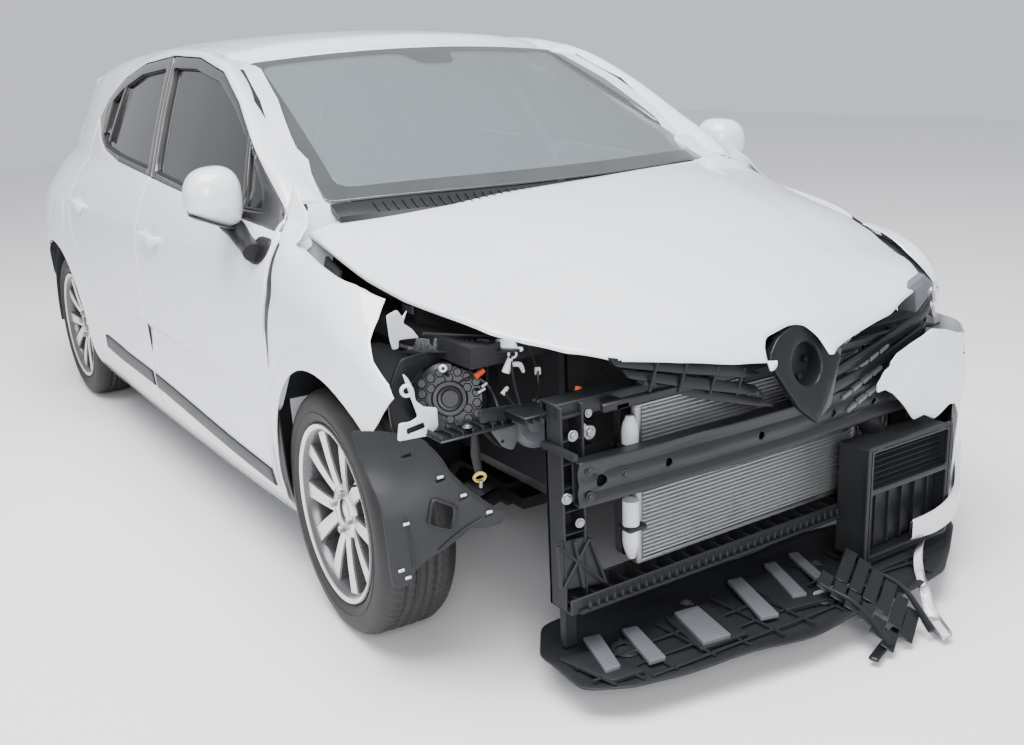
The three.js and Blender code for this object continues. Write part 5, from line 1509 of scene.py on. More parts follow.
def honeycomb(centre, turned, inner, outer, size=13.0):
    """Raised six-sided cells over a disc, row by row, each a low hexagonal pad."""
    cells = []
    for i in range(-7, 8):
        for j in range(-7, 8):
            a, b = size * 1.5 * i, size * math.sqrt(3) * (j + 0.5 * (i % 2))
            if inner < math.hypot(a, b) < outer:
                pad = disc([[0.1, 2], [size * 0.86, 2], [size * 0.86, -3], [size * 0.66, -5.5], [0.1, -5.5]],
                    6)
                cells.append(moved(moved(pad, turn((0, 1, 0), 30), (a, 0, b)), turned, centre))
    return cells


def lamp_housing():
    """The right lamp's torn-off seat: its round back with cells and a socket, broken brackets, the horn,
    wires and loose clips."""
    centre, turned = (300, -686, 636), facing((0.80, -0.52, 0.30))
    back = moved(disc([[18, 26], [20, -2], [30, -4], [70, 0], [80, 8], [84, 22], [84, 40], [78, 44], [74, 30],
        [20, 30]], 56), turned, centre)
    rings = [moved(lathe([[r, -2], [r + 3, -6], [r + 6, -2], [r + 3, 3]], 48), turned, centre) for r in (24,
        35)]
    tray = holed([rounded([[-800, 560], [-650, 540], [-560, 560], [-520, 640], [-540, 716], [-640, 736],
        [-770, 728], [-806, 660]], 20),
                  ring_of(-694, 640, 60)], 236, 244, "x", 24, 2)
    top = plate([rounded([[180, -742], [420, -590], [420, -560], [180, -690]], 5)], lambda x, y,
        d: xyz(x, y, 726 + 0.10 * (x - 180) - d),
                0, 4, step=24, roll=1.5)
    ridges = [tube([[246, y, 560], [252, y + 6, 640], [248, y + 10, 722]], [5, 7, 5], 8, 5) for y in (-640,
        -612, -590, -566)]
    shelf = [brick(386, 456, -800, -620, 601, 606, 2), *[brick(388, 454, y, y + 3, 604, 616,
        1) for y in np.arange(-796, -625, 24)],
             holed([rounded([[-698, 648], [-512, 632], [-510, 600], [-640, 612], [-700, 618]], 6)], 436, 442,
             "x", 24, 1.5),
             brick(440, 520, -640, -540, 632, 637, 2), *[brick(442, 518, y, y + 3, 618, 635,
             1) for y in np.arange(-636, -543, 18)]]
    put("lamp_seat", gather(back, *rings, *honeycomb(centre, turned, 42, 76), tray, top, *ridges, *shelf),
        SMOOTH_BLACK)
    horn = moved(disc([[0.1, 6], [16, 6], [20, 2], [34, -2], [44, 4], [50, 14], [50, 20], [42, 22],
        [0.1, 22]], 44), facing((0.9, -0.35, 0.2)), (434, -556, 580))
    cheek = holed([rounded([[-676, 624], [-604, 622], [-598, 560], [-612, 536], [-636, 548], [-664, 588]], 8),
        ring_of(-640, 602, 7, 14)], 424, 430, "x", 14, 2)
    put("horn_and_cheek", gather(horn, cheek, brick(430, 452, -560, -548, 604, 640, 2)), GREY_PLASTIC)
    inner = plate([rounded([[-797, 829], [-764, 834], [-751, 815], [-736, 828], [-750, 802], [-727, 784],
        [-712, 762], [-766, 768], [-768, 750],
                            [-786, 752], [-792, 774]], 5)], lambda y, z,
                            d: xyz(252 - d - 24 * np.sin((y + 800) / 50), y, z), 0, 3, step=9, roll=1)
    put("inner_arch", inner, WHITE_SHADED_INSIDE)
    along = lambda a, h, d: xyz(186 + 0.873 * a, -704 + 0.473 * a - 0.2 * d, 738 + 0.073 * a + h)
    bar = plate([rectangle(0, 272, -12, -2, 2)], along, -14, 6, step=14, roll=2)
    steps = [plate([rounded([[a0, -4], [a1, -4], [a1 - 6, 13], [a0 + 5, 15]], 3)], along, -4, 8, step=12,
        roll=1.5)
             for a0, a1 in ((4, 46), (52, 110), (114, 158), (162, 196), (206, 262))]
    put("silver_strip", gather(bar, *steps), SILVER)
    bracket = holed([rounded([[-840, 742], [-830, 731], [-818, 704], [-817, 682], [-798, 663], [-768, 655],
        [-768, 614], [-792, 600], [-862, 604],
                              [-856, 640], [-830, 638], [-812, 645], [-826, 690]], 5),
                              rounded([[-842, 626], [-800, 632], [-796, 618], [-840, 612]], 4)],
                    386, 392, "x", 12, 2)
    eyelet = moved(lathe([[7, -2], [11, -4], [14, -1], [14, 3], [9, 4], [7, 2]], 24), facing((1, -0.3, 0)),
        (392, -836, 706))
    put("pale_bracket", gather(bracket, eyelet), WHITE_PLASTIC)
    fastener = tube([[480, -474, 662], [482, -478, 650], [480, -492, 636], [478, -504, 622]], [8, 10, 11, 10],
        12, 8, 0.5)
    small = rod((352, -650, 690), (352, -628, 700), 7, 6, 10)
    put("orange_fastener", gather(fastener, small), ORANGE)
    ring = moved(lathe([[6, -2], [9, -3], [11, 0], [9, 3], [6, 2]], 20), facing((1, -0.5, 0)),
        (402, -586, 738))
    bits = [rod((402, -592, 730), (400, -604, 700), 6, 9, 10), tube([[402, -590, 716], [404, -570, 712],
        [402, -560, 694]], [5, 6, 4], 8, 5),
            brick(398, 408, -530, -518, 680, 698, 2), moved(lathe([[4, -2], [7, -3], [9, 0], [7, 3], [4, 2]],
                16), facing((1, -0.5, 0)), (334, -717, 717)),
            rod((384, -604, 648), (384, -590, 662), 6, 4, 10), brick(434, 440, -584, -566, 612, 618, 2),
                brick(402, 408, -668, -644, 600, 606, 2),
            rod((344, -640, 650), (344, -622, 656), 3, 3, 8), rod((346, -632, 662), (346, -618, 668), 3, 3,
                8)]
    put("pale_fragments", gather(ring, *bits), WHITE_PLASTIC)
    wires = [tube([[402, -546, 752], [404, -540, 730], [402, -526, 700]], [2.4] * 3, 6, 8),
        tube([[440, -690, 600], [420, -650, 560], [400, -620, 540], [380, -640, 600]], [4] * 4, 6, 8),
             tube([[310, -640, 690], [350, -610, 650], [400, -620, 600], [430, -640, 560]], [4.5] * 4, 6, 8),
             tube([[440, -515, 560], [470, -500, 600], [500, -480, 640]], [5] * 3, 8, 8),
             tube([[300, -740, 790], [330, -640, 774], [380, -560, 768]], [3] * 3, 6, 8)]
    wires += [tube(path, [3] * len(path), 6, 6) for path in (
        [[402, -592, 735], [420, -596, 680], [446, -600, 637]], [[402, -524, 700], [420, -536, 660],
            [446, -560, 637]],
        [[384, -597, 655], [404, -602, 645], [444, -612, 636]], [[344, -636, 655], [322, -640, 652],
            [300, -650, 650]],
        [[334, -717, 717], [316, -706, 706], [306, -690, 690]], [[352, -640, 695], [330, -652, 684],
            [310, -664, 672]],
        [[480, -490, 640], [500, -520, 636], [515, -545, 633]])]
    put("loose_wires", gather(*wires), TRIM_BLACK)
    bolts = [bolt((562, -571, 457), (1, -0.2, 0), 8), bolt((562, -540, 395), (1, -0.2, 0), 7),
        bolt((546, -498, 582), (1, 0, 0), 10),
             bolt((546, -514, 596), (1, 0, 0), 6), bolt((562, -552, 591), (1, 0, 0), 8),
             bolt((546, -499, 624), (1, 0, 0), 6),
             bolt((440, -728, 618), (0, 0, 1), 7)]
    put("carrier_bolts", gather(*bolts), BOLT_STEEL)


def grille_remains():
    """What is left of the grille: a bent carrier, drooping strips on the right, rows of blocks on the left,
    the bare badge seat."""
    face = lambda x0, lean=0.0: (lambda y, z, d: xyz(x0 - lean * (z - 600) - d, y, z))
    strips = [plate([rounded(loop, 5)], face(x0, 0.1), 0, 9, step=26, roll=2.5) for x0, loop in (
        (618, [[-486, 752], [-300, 706], [-112, 668], [-70, 640], [-120, 640], [-300, 684], [-470, 730]]),
        (606, [[-446, 718], [-240, 662], [-76, 612], [-44, 580], [-110, 598], [-260, 640], [-430, 696]]),
        (596, [[-405, 692], [-230, 632], [-46, 574], [-6, 545], [-70, 560], [-240, 612], [-396, 676]]))]
    struts = [tube([[600, y, z], [610, y + 14, z + 62]], [4, 4], 8, 2) for y,
        z in ((-380, 660), (-300, 640), (-210, 618), (-130, 600))]
    carrier = gather(brick(584, 600, -500, -110, 636, 656, 3), brick(584, 600, 60, 520, 636, 656, 3),
        brick(580, 588, -108, 58, 640, 654, 2),
                     brick(546, 600, -468, -432, 636, 650, 3), brick(546, 600, 432, 468, 636, 650, 3))
    left = [plate([rounded(loop, 6)], face(x0), 0, 8, step=26, roll=2.5) for x0, loop in (
        (612, [[160, 600], [320, 640], [480, 690], [520, 722], [520, 690], [480, 654], [320, 606], [170, 576],
            [140, 560]]),
        (620, [[120, 566], [300, 596], [470, 650], [500, 664], [470, 630], [300, 574], [130, 536]]),
        (604, [[100, 540], [260, 552], [380, 590], [372, 520], [300, 470], [232, 430], [150, 500]]))]
    put("grille_bar", gather(carrier, *strips, *struts, *left), SMOOTH_BLACK, replaces="grille_remains")
    blocks = []
    for i, (y, wide) in enumerate(((214, 22), (252, 20), (292, 40), (346, 34), (394, 26), (432, 62))):
        z = 652 + 0.36 * (y - 214)
        blocks.append(plate([rounded([[y, z], [y + wide, z + 0.36 * wide],
            [y + wide + 8, z + 27 + 0.36 * wide], [y + 7, z + 25]], 3)],
                            face(606 - 2 * (i % 2)), 0, 22, step=20, roll=2.5))
    for row, (y0, z0, count) in enumerate(((190, 566, 5), (206, 528, 4), (226, 492, 3))):
        for i in range(count):
            y, z = y0 + 36 * i, z0 + 13 * i
            blocks.append(plate([rounded([[y, z - 9], [y + 28, z + 2], [y + 30, z + 12], [y + 2, z + 2]], 2)],
                face(616), 0, 14, step=20, roll=1.5))
    put("grille_blocks", gather(*blocks), GREY_WORN_PAINTED_SHEEN)
    lean = face(682, 0.24)
    outer = rounded([[-8, 745], [46, 745], [66, 716], [112, 682], [132, 652], [64, 562], [24, 522],
        [-22, 562], [-84, 664], [-92, 690], [-58, 726]], 9)
    turnings = np.linspace(0, 2 * np.pi, 40, endpoint=False)
    inner = np.column_stack([18 + 46 * np.cos(turnings),
        656 + 50 * np.sin(turnings)])  # the bare pit is a plain oval
    seat = plate([outer, inner], lean, 0, 16, step=18, roll=5)
    wall = plate([grow(inner, 3), grow(inner, -2)], lean, 4, 44, step=30, roll=0.5)
    pit = plate([grow(inner, 2)], lambda y, z, d: lean(y, z, d + 34 + 6 * np.cos((z - 640) / 26)), 0, 4,
        step=14, roll=0)
    studs = [moved(disc([[0.1, -7], [6, -6], [7, 0], [0.1, 0]], 14), facing((1, 0, 0.24)),
        (648 - 0.24 * (z - 600), y, z)) for y, z in ((18, 690), (18, 622), (-10, 656), (46, 656))]
    put("badge_seat", gather(seat, wall, pit, *studs), SMOOTH_BLACK)
    horn_post = [plate([rounded([[118, 640], [150, 668], [168, 660], [110, 540], [74, 520]], 5)],
        face(650, 0.2), 0, 8, step=26, roll=2.5),
                 brick(598, 612, 60, 120, 556, 566, 2)]
    put("grille_post", gather(*horn_post), GREY_PLASTIC)


def air_duct():
    """The left air duct: an open box with slats above and a blanked panel below."""
    walls = [brick(580, 678, 240, 247, 110, 400, 2), brick(580, 678, 538, 545, 110, 400, 2),
        brick(580, 678, 244, 541, 110, 116, 2),
             brick(580, 678, 244, 541, 394, 400, 2), brick(584, 672, 244, 541, 286, 292, 2)]
    flange = holed([rectangle(232, 553, 102, 408, 14), rectangle(252, 533, 296, 390, 6),
        rectangle(252, 533, 122, 282, 6)], 672, 678, "x", 30, 1.5)
    slats = [moved(brick(-22, 22, 246, 540, -1.6, 1.6, 1), turn((0, 1, 0), 24),
        (634, 0, z)) for z in np.arange(303, 388, 15)]
    uprights = [brick(618, 640, y, y + 4, 292, 396, 1) for y in (318, 392, 466)]
    panel = plate([rectangle(250, 535, 120, 284, 8)], lambda y, z, d: xyz(640 - d + 3 * np.sin(y / 40), y, z),
        0, 4, step=24, roll=2)
    ribs = [brick(638, 650, y, y + 4, 124, 280, 1) for y in (300, 350, 400, 450, 500)]
    rear = holed([rectangle(244, 541, 114, 396, 4)], 582, 588, "x", 60, 1)
    put("duct_box", gather(*walls, flange, *slats, *uprights, panel, *ribs, rear), MOULDED,
        replaces="air_duct")


def bumper_remnant():
    """The left end of the front bumper: the torn skin over the duct, the curled lip below it, and a strand
    hanging to the ground."""
    plan = np.array([[300, 866], [360, 850], [430, 826], [500, 796], [560, 745], [600, 690], [626, 630],
        [640, 560], [648, 470],
                     [652, 380], [654, 270]], float)
    run = np.concatenate([[0], np.cumsum(np.linalg.norm(np.diff(plan, axis=0), axis=1))])
    shape = curve(np.column_stack([run, plan]))
    along = lambda y: np.interp(y, plan[::-1, 1], run[::-1])

    def skin(s, z, depth):
        x, y = shape(np.clip(s, 0, run[-1]))
        turn_in = smooth(s, 330, 200)
        crease = 9 * smooth(z, 330, 470) * np.exp(-(((z - 470 - 0.35 * (s - 300)) / 70) ** 2))
        inset = depth + 3 * np.sin(z / 37 + s / 29) * (depth < 8) - crease + 4
        return xyz(x - inset * (1 - 0.4 * turn_in), y - inset * 0.75 * turn_in, z)

    edge = np.array([[852, 598], [700, 598], [660, 606], [618, 616], [560, 636], [487, 652], [449, 640],
        [400, 630], [341, 618],
                     [318, 600], [321, 590], [300, 582], [291, 563], [280, 552], [286, 529], [318, 530],
                     [349, 513], [391, 473], [440, 425],
                     [480, 430], [520, 410], [560, 418], [600, 428], [640, 420], [668, 380], [676, 340],
                     [672, 260], [656, 200], [668, 120],
                     [770, 100], [800, 110]], float)
    outline = np.column_stack([along(edge[:, 0]), edge[:, 1]])
    arch = np.array([[120, 130], [112, 200], [86, 320], [56, 420], [24, 520]], float)
    put("bumper_skin_front", plate([rounded(np.vstack([outline, arch]), 7)], skin, 0, 4, step=14, roll=2.2),
        WHITE,
        replaces="bumper_remnant_left")
    liner = plate([rounded([[150, 140], [250, 120], [330, 150], [372, 280], [330, 430], [230, 540],
        [120, 520], [110, 300]], 30)],
                  lambda s, z, d: skin(s, z, d + 34 + 12 * np.sin(s / 30)), 0, 5, step=24, roll=0)
    stay = gather(brick(520, 606, 604, 688, 543, 547, 2), *[brick(524, 602, y, y + 3, 545, 565,
        1) for y in (606, 632, 658, 683)])
    path = curve(np.array([[0, 566, 756, 262], [70, 606, 700, 216], [140, 650, 644, 190],
        [230, 694, 566, 174], [340, 718, 458, 168],
                           [440, 720, 362, 176]], float))

    def lip(s, w, depth):
        """Across w the lip's section is a shallow channel that opens inward."""
        x, y, z = path(s)
        fold = np.clip(np.abs(w) - 24, 0, None)
        return xyz(x - 0.75 * depth - fold * 1.1, y - 0.45 * depth - fold * 0.5, z + 0.9 * w)

    band = rounded([[0, -28], [90, -34], [230, -36], [380, -34], [440, -30], [440, 28], [360, 34], [230, 36],
        [90, 34], [0, 26]], 8)
    core = rounded([[30, -22], [430, -22], [430, 22], [30, 22]], 6)
    put("bumper_lip_curl", plate([band], lip, 0, 4, step=12, roll=2), WHITE)
    put("bumper_backing", gather(liner, stay, plate([core], lambda s, w, d: lip(s, w, d), 14, 18, step=24,
        roll=0)), SMOOTH_BLACK)
    spine = curve(np.array([[0, 700, 424, 124], [50, 722, 384, 118], [100, 746, 350, 104],
        [190, 800, 302, 70], [290, 862, 262, 36],
                            [370, 925, 228, 12]], float))

    def strand(s, w, depth):
        x, y, z = spine(s)
        return xyz(x + 0.3 * w + 0.3 * depth, y + 0.85 * w - 0.2 * depth,
            z + 0.32 * w + 7 * np.sin(s / 26) - 0.9 * depth)

    edges = rounded([[0, -10], [60, -15], [140, -12], [240, -17], [330, -20], [368, -14], [366, 16],
        [300, 19], [200, 13], [120, 15], [40, 11], [0, 8]], 6)
    put("hanging_strand", plate([edges], strand, 0, 3, step=9, roll=1.3), RAW_STEEL)
    chips = [rounded([[a, -9], [a + 62, -12], [a + 70, 6], [a + 8, 9]], 5) for a in (120, 214, 296)]
    put("strand_paint", gather(*[plate([c], strand, -1.2, 0.5, step=9, roll=0.4) for c in chips]), WHITE)


def undertray():
    """The undertray: a moulded sheet with ribs and round holes, broken along its edge, with a slatted piece
    torn up from it."""
    tray = np.array([[400, -540], [511, -621], [661, -618], [723, -538], [764, -329], [806, -71], [800, 160],
        [791, 393], [716, 520],
                     [640, 640], [538, 720], [440, 600]], float)

    def sheet(x, y, depth):
        dish = 5 * np.sin(x / 38) * np.sin(y / 55) + 6 * smooth(edge_distance(xyz(x, y), [tray]), 14, 34) * -1
        return xyz(x, y, 84 - depth + dish)

    holes = [ring_of(600, -450, 26, 24), ring_of(700, 60, 26, 24), ring_of(560, 200, 16),
        ring_of(640, 360, 18), ring_of(520, -200, 16)]
    put("tray_sheet", plate([rounded(tray, 24)] + holes, sheet, 0, 5, step=17, roll=2), MOULDED,
        replaces="undertray")
    lattice = [tube([[x0, y0, 86], [x1, y1, 86]], [3.4, 3.4], 6, 2) for x0, y0, x1, y1 in
               ((560, -590, 700, -560), (560, -520, 720, -500), (560, -440, 730, -420),
               (560, -330, 740, -320), (550, -240, 760, -230),
                (540, -150, 770, -140), (540, -60, 776, -50), (530, 40, 784, 50), (530, 130, 784, 140),
                (540, 250, 784, 250), (540, 360, 780, 360),
                (600, -590, 640, 120), (660, -590, 700, 120), (720, -480, 752, 120), (580, 240, 600, 420),
                (640, 240, 660, 420), (700, 240, 720, 420))]
    panels = [holed([rounded(loop, 7)], 82, 88 + rise, "z", 24, 2) for loop, rise in (
        ([[548, -600], [690, -560], [700, -480], [566, -512]], 3), ([[552, -300], [708, -330], [720, -200],
            [560, -180]], 2),
        ([[536, -40], [700, -60], [726, 60], [540, 60]], 4), ([[600, 250], [700, 250], [700, 420],
            [600, 420]], 5))]
    bars = [holed([rounded(loop, 4)], 90, 99, "z", 24, 2) for loop in (
        [[524, -512], [660, -556], [664, -518], [534, -472]], [[546, -420], [690, -462], [696, -420],
            [556, -384]],
        [[560, -278], [700, -318], [712, -246], [570, -214]], [[520, -72], [700, -142], [712, -96],
            [530, -34]],
        [[512, 60], [672, -10], [684, 26], [520, 92]], [[508, 150], [640, 100], [650, 126], [516, 176]])]
    put("tray_bars", gather(*bars), GREY_WORN_PAINTED_SHEEN)
    ribs = lattice + panels
    lips = [lathe([[27, -1.5], [33, -2], [35, 2], [33, 6], [27, 5]], 28) for _ in range(2)]
    lips = [moved(p, turn((1, 0, 0), 90), place) for p, place in zip(lips, ((600, -450, 82), (700, 60, 82)))]
    legs = [brick(500, 520, y, y + 34, 84, 196, 3) for y in (-557, 523)]
    put("tray_ribs", gather(*ribs, *lips, *legs), MOULDED)
    torn = []
    for i, (x0, z0) in enumerate(((716, 118), (752, 104), (788, 92), (822, 74), (852, 50), (880, 26))):
        for y0, y1 in ((40 + 6 * i, 96 + 6 * i), (104 + 6 * i, 214 + 4 * i)):
            slope = turn((0, 0, 1), 32)
            torn.append(moved(brick(-16, 16, 0, y1 - y0, -2, 2 + i % 2, 1.2), turn((0, 1, 0), 34) @ slope,
                (x0, y0, z0)))
    torn += [tube([[700, 44, 122], [790, 74, 96], [880, 84, 30]], [7, 6, 9], 8, 8),
        tube([[716, 206, 120], [800, 230, 90], [892, 214, 28]], [6, 6, 10], 8, 8),
             moved(brick(-12, 12, 0, 230, -10, 0, 3), turn((0, 0, 1), 20), (884, 20, 24))]
    put("torn_slats", gather(*torn), SMOOTH_BLACK)
    scrap = plate([rounded([[0, 0], [90, 8], [150, 2], [160, 14], [80, 26], [0, 16]], 5)],
                  lambda a, b, d: xyz(690 + 0.3 * a, 40 + a, 92 + b * 0.5 + 4 * np.sin(a / 30) - d), 0, 2.5,
                  step=12, roll=1)
    put("pale_scrap", scrap, WHITE_PLASTIC)


def arch_liner():
    """The right arch's liner: a doubly curved sheet torn off at the front, with clip slots, a window and
    ribs."""
    table = curve([[110, 445, 420, 390], [200, 455, 430, 400], [300, 465, 435, 405], [400, 470, 436, 400],
        [480, 466, 426, 380],
                   [530, 465, 418, 330], [600, 456, 400, 262]])
    edge = np.array([[-896, 594], [-850, 602], [-800, 592], [-780, 560], [-765, 525], [-737, 487],
        [-702, 452], [-667, 422], [-676, 402],
                     [-700, 396], [-740, 400], [-765, 380], [-790, 362], [-830, 340], [-858, 322],
                     [-864, 298], [-882, 288], [-900, 292],
                     [-905, 340], [-907, 420], [-905, 500]], float)
    window = np.array([[-806, 470], [-768, 450], [-778, 405], [-822, 425]], float)

    def sheet(y, z, depth):
        inner, middle, outer = table(z)
        v = (-y - 680) / 200
        x = inner + (4 * middle - 3 * inner - outer) * v + 2 * (outer + inner - 2 * middle) * v**2
        ripple = 3 * np.sin(y / 17 + z / 40) * smooth(z, 380, 300) + 2.2 * np.sin(z / 30)
        return xyz(x - depth + ripple, y, z)

    slots = [rounded(np.array([[-9, -4], [9, 4], [11, -2], [-7, -10]], float) + place, 2.5) for place in
             ((-832, 560), (-786, 512), (-748, 470), (-702, 428))]
    put("liner_sheet", plate([rounded(edge, 7), rounded(window, 7)] + slots, sheet, 0, 3.5, step=12,
        roll=1.5), MOULDED,
        replaces="arch_liner_right")
    ribs = [tube([sheet(np.float64(y), np.float64(z), -2) for y, z in line], [2.6] * len(line), 6,
        4) for line in (
        [(-798, 580), (-772, 530), (-738, 480), (-690, 432)], [(-866, 440), (-862, 400), (-860, 370),
            (-858, 330)],
        [(-762, 392), (-740, 408), (-716, 420)], [(-782, 380), (-756, 398), (-730, 414)],
            [(-806, 360), (-776, 386), (-744, 408)])]
    put("liner_ribs", gather(*ribs), MOULDED)
    frame_ring = plate([grow(rounded(window, 7), 6), rounded(window, 7)[::-1]], sheet, -5, 1, step=14, roll=1)
    put("liner_window", frame_ring, SMOOTH_BLACK)
    plug = tube([[440, -712, 612], [440, -712, 560], [446, -710, 512]], [7, 12, 9], 12, 6, 0.5)
    put("hanging_plug", plug, TRIM_BLACK)
    put("liner_bolt", gather(rod((452, -710, 500), (452, -711, 484), 4, 4, 10)), BOLT_STEEL)
    ringed = moved(lathe([[10, -3], [13, -4], [15, 0], [13, 4], [10, 3]], 28), facing((0.9, -0.3, -0.5)),
        (448, -710, 506))
    put("liner_washer", ringed, YELLOW)
    clips = [moved(brick(-7, 7, -2, 2, -3, 3, 1), facing((1, 0, 0)), tuple(sheet(np.float64(y), np.float64(z),
        -3))) for y, z in
             ((-786, 516), (-748, 474), (-702, 432), (-866, 430), (-884, 330), (-872, 312))]
    put("liner_clips", gather(*clips), WHITE_PLASTIC)


def left_lamp():
    """The left lamp, still in place: a dark grey body beside the bonnet's corner, a clear cover round its
    end, and the wing's tip over it."""
    stations = np.array([  # x, then y and z of the inner edge, the crown, the shoulder and the lower edge
        [230, 722, 842, 764, 836, 800, 816, 812, 770], [300, 716, 828, 766, 822, 800, 798, 808, 740],
        [350, 706, 812, 762, 806, 797, 782, 804, 718], [398, 700, 786, 752, 784, 788, 760, 796, 702],
        [430, 712, 756, 750, 756, 782, 730, 788, 686], [446, 744, 716, 760, 720, 778, 706, 782, 676],
            [452, 762, 690, 766, 692, 774, 688, 776, 668]], float)
    shape = curve(stations)
    xs = np.linspace(230, 452, 34)
    sections = np.array(shape(xs)).reshape(4, 2, -1).transpose(2, 0, 1)
    profile = curve(np.column_stack([np.arange(4.0), np.zeros(4)]))
    t = np.linspace(0, 3, 22)
    lower = np.clip(np.floor(t).astype(int), 0, 2)
    part = (t - lower)[None, :, None]
    mixed = sections[:, lower] * (1 - part) + sections[:, lower + 1] * part
    for _ in range(3):
        mixed[:, 1:-1] = 0.5 * mixed[:, 1:-1] + 0.25 * (mixed[:, :-2] + mixed[:, 2:])
    back = mixed[:, ::-1] - [3.2, 4.0]
    rings = np.concatenate([mixed, back], 1)
    tip = capped(np.dstack([np.repeat(xs[:, None], rings.shape[1], 1), rings]))
    put("wing_tip_left", tip, WHITE)
    body = plate([rounded([[652, 616], [650, 722], [668, 742], [704, 724], [744, 700], [748, 664],
        [700, 606]], 8)],
                 lambda y, z, d: xyz(474 - d - 0.25 * np.clip(y - 690, 0, None) - 0.12 * (z - 640), y, z), 0,
                 60, step=18, roll=4)
    top = plate([rounded([[240, 728], [330, 706], [400, 690], [440, 672], [462, 664], [470, 690], [452, 742],
        [400, 764], [240, 770]], 8)],
                lambda x, y, d: xyz(x, y, np.interp(x, [240, 330, 400, 440, 480],
                [816, 790, 758, 716, 684]) - 8 - d), 0, 5, step=16, roll=2)
    put("lamp_body_left", gather(body, top), GREY_WORN_PAINTED_SHEEN)
    cover = plate([rounded([[700, 600], [706, 690], [742, 712], [768, 690], [772, 668], [748, 596]], 8)],
                  lambda y, z, d: xyz(494 - d - 0.5 * (y - 700) - 0.14 * (z - 640), y, z), 0, 4, step=14,
                  roll=1.6)
    put("lamp_cover_left", cover, CLEAR_LENS, replaces="headlamp_left")
    bowls = [moved(disc([[0.1, -4], [12, -8], [22, -20], [25, -20], [25, -12], [14, 0], [0.1, 2]], 32),
        facing((0.85, 0.45, 0.2)), place)
             for place in ((440, 734, 668), (446, 728, 630))]
    seam_strip = tube([[478, 662, 604], [482, 704, 594], [472, 752, 590]], [5, 6, 5], 8, 8)
    put("lamp_reflectors_left", gather(*bowls), SILVER)
    put("lamp_lower_seal_left", seam_strip, TRIM_BLACK)


crash_beam()
radiator()
front_carrier()
lamp_housing()
grille_remains()
air_duct()
bumper_remnant()
undertray()
arch_liner()
left_lamp()


# ---------------------------------------------------------------- cabin
def padded_block(size, bolster, rows=30):
    """A seat pad: a crowned block with raised side bolsters and sewn channels across its middle."""
    def shape(p):
        x, y, z = np.moveaxis(p, -1, 0)
        u, v = y / (size[1] / 2), x / (size[0] / 2)
        raised = bolster * smooth(np.abs(u), 0.55, 0.85) * (z > 0)
        channels = 3.2 * sum(np.exp(-(((v - c) / 0.035) ** 2)) for c in (-0.45, -0.1,
            0.25)) * (1 - smooth(np.abs(u), 0.5, 0.58))
        groove = 4.0 * np.exp(-(((np.abs(u) - 0.58) / 0.03) ** 2))
        return xyz(x, y, z + raised - (channels + groove) * (z > 0))

    return cushion(size, square=0.32, rows=rows, shape=shape)


def front_seat(side, tag):
    y = side * 370
    base = moved(padded_block((500, 470, 140), 26), offset=(-1010, y, 378))
    lean = turn((0, 1, 0), -90 - math.degrees(0.3))
    back = moved(padded_block((600, 452, 104), 24), lean, (-1330, y, 690))
    rest = moved(cushion((150, 240, 78), square=0.42, rows=18), turn((0, 1, 0), -90 - math.degrees(0.2)),
        (-1435, y, 1070))
    cushion_piece = put("seat_cushion_" + tag, base, CLOTH, replaces="seat_front_" + tag,
        weld=0.01)
    back_piece = put("seat_back_" + tag, back, CLOTH, weld=0.01)
    rest_piece = put("headrest_" + tag, rest, CLOTH, weld=0.01)
    posts = [rod((-1412 + 0, y + s * 44, 950), (-1430, y + s * 44, 1040), 6) for s in (-1, 1)]
    rails = [brick(-1230, -790, y + s * 170 - 18, y + s * 170 + 18, 180, 206, 3) for s in (-1, 1)]
    shroud = [brick(-1240, -800, y - 200, y + 200, 206, 306, 22), brick(-1300, -1130, y + side * -206 - 16,
        y + side * -206 + 16, 300, 430, 12)]
    lever = tube([[-780, y - 90, 290], [-752, y - 90, 286], [-752, y + 90, 286], [-780, y + 90, 290]],
        [6] * 4, 8, 6)
    put("seat_base_" + tag, gather(*posts, *rails, *shroud, lever), MOULDED)


def rear_seat():
    base = moved(padded_block((450, 1190, 130), 10), offset=(-1944, 0, 384))
    lean = turn((0, 1, 0), -90 - math.degrees(0.35))
    back = moved(padded_block((560, 1150, 104), 10), lean, (-2215, 0, 730))
    pieces = [put("rear_bench", base, CLOTH, replaces="seat_rear", weld=0.01),
        put("rear_backrest", back, CLOTH, weld=0.01)]
    for i, y in enumerate((-380, 0, 380)):
        rest = moved(cushion((90, 230, 70), square=0.45, rows=14), turn((0, 1, 0), -105), (-2316, y, 1010))
        pieces.append(put(f"rear_headrest_{i}", rest, CLOTH, weld=0.01))
    stands = [brick(-2160, -1760, *sorted((side * 140, side * 540)), 180, 312, 18) for side in (-1, 1)]
    put("rear_seat_base", gather(*stands), MOULDED)


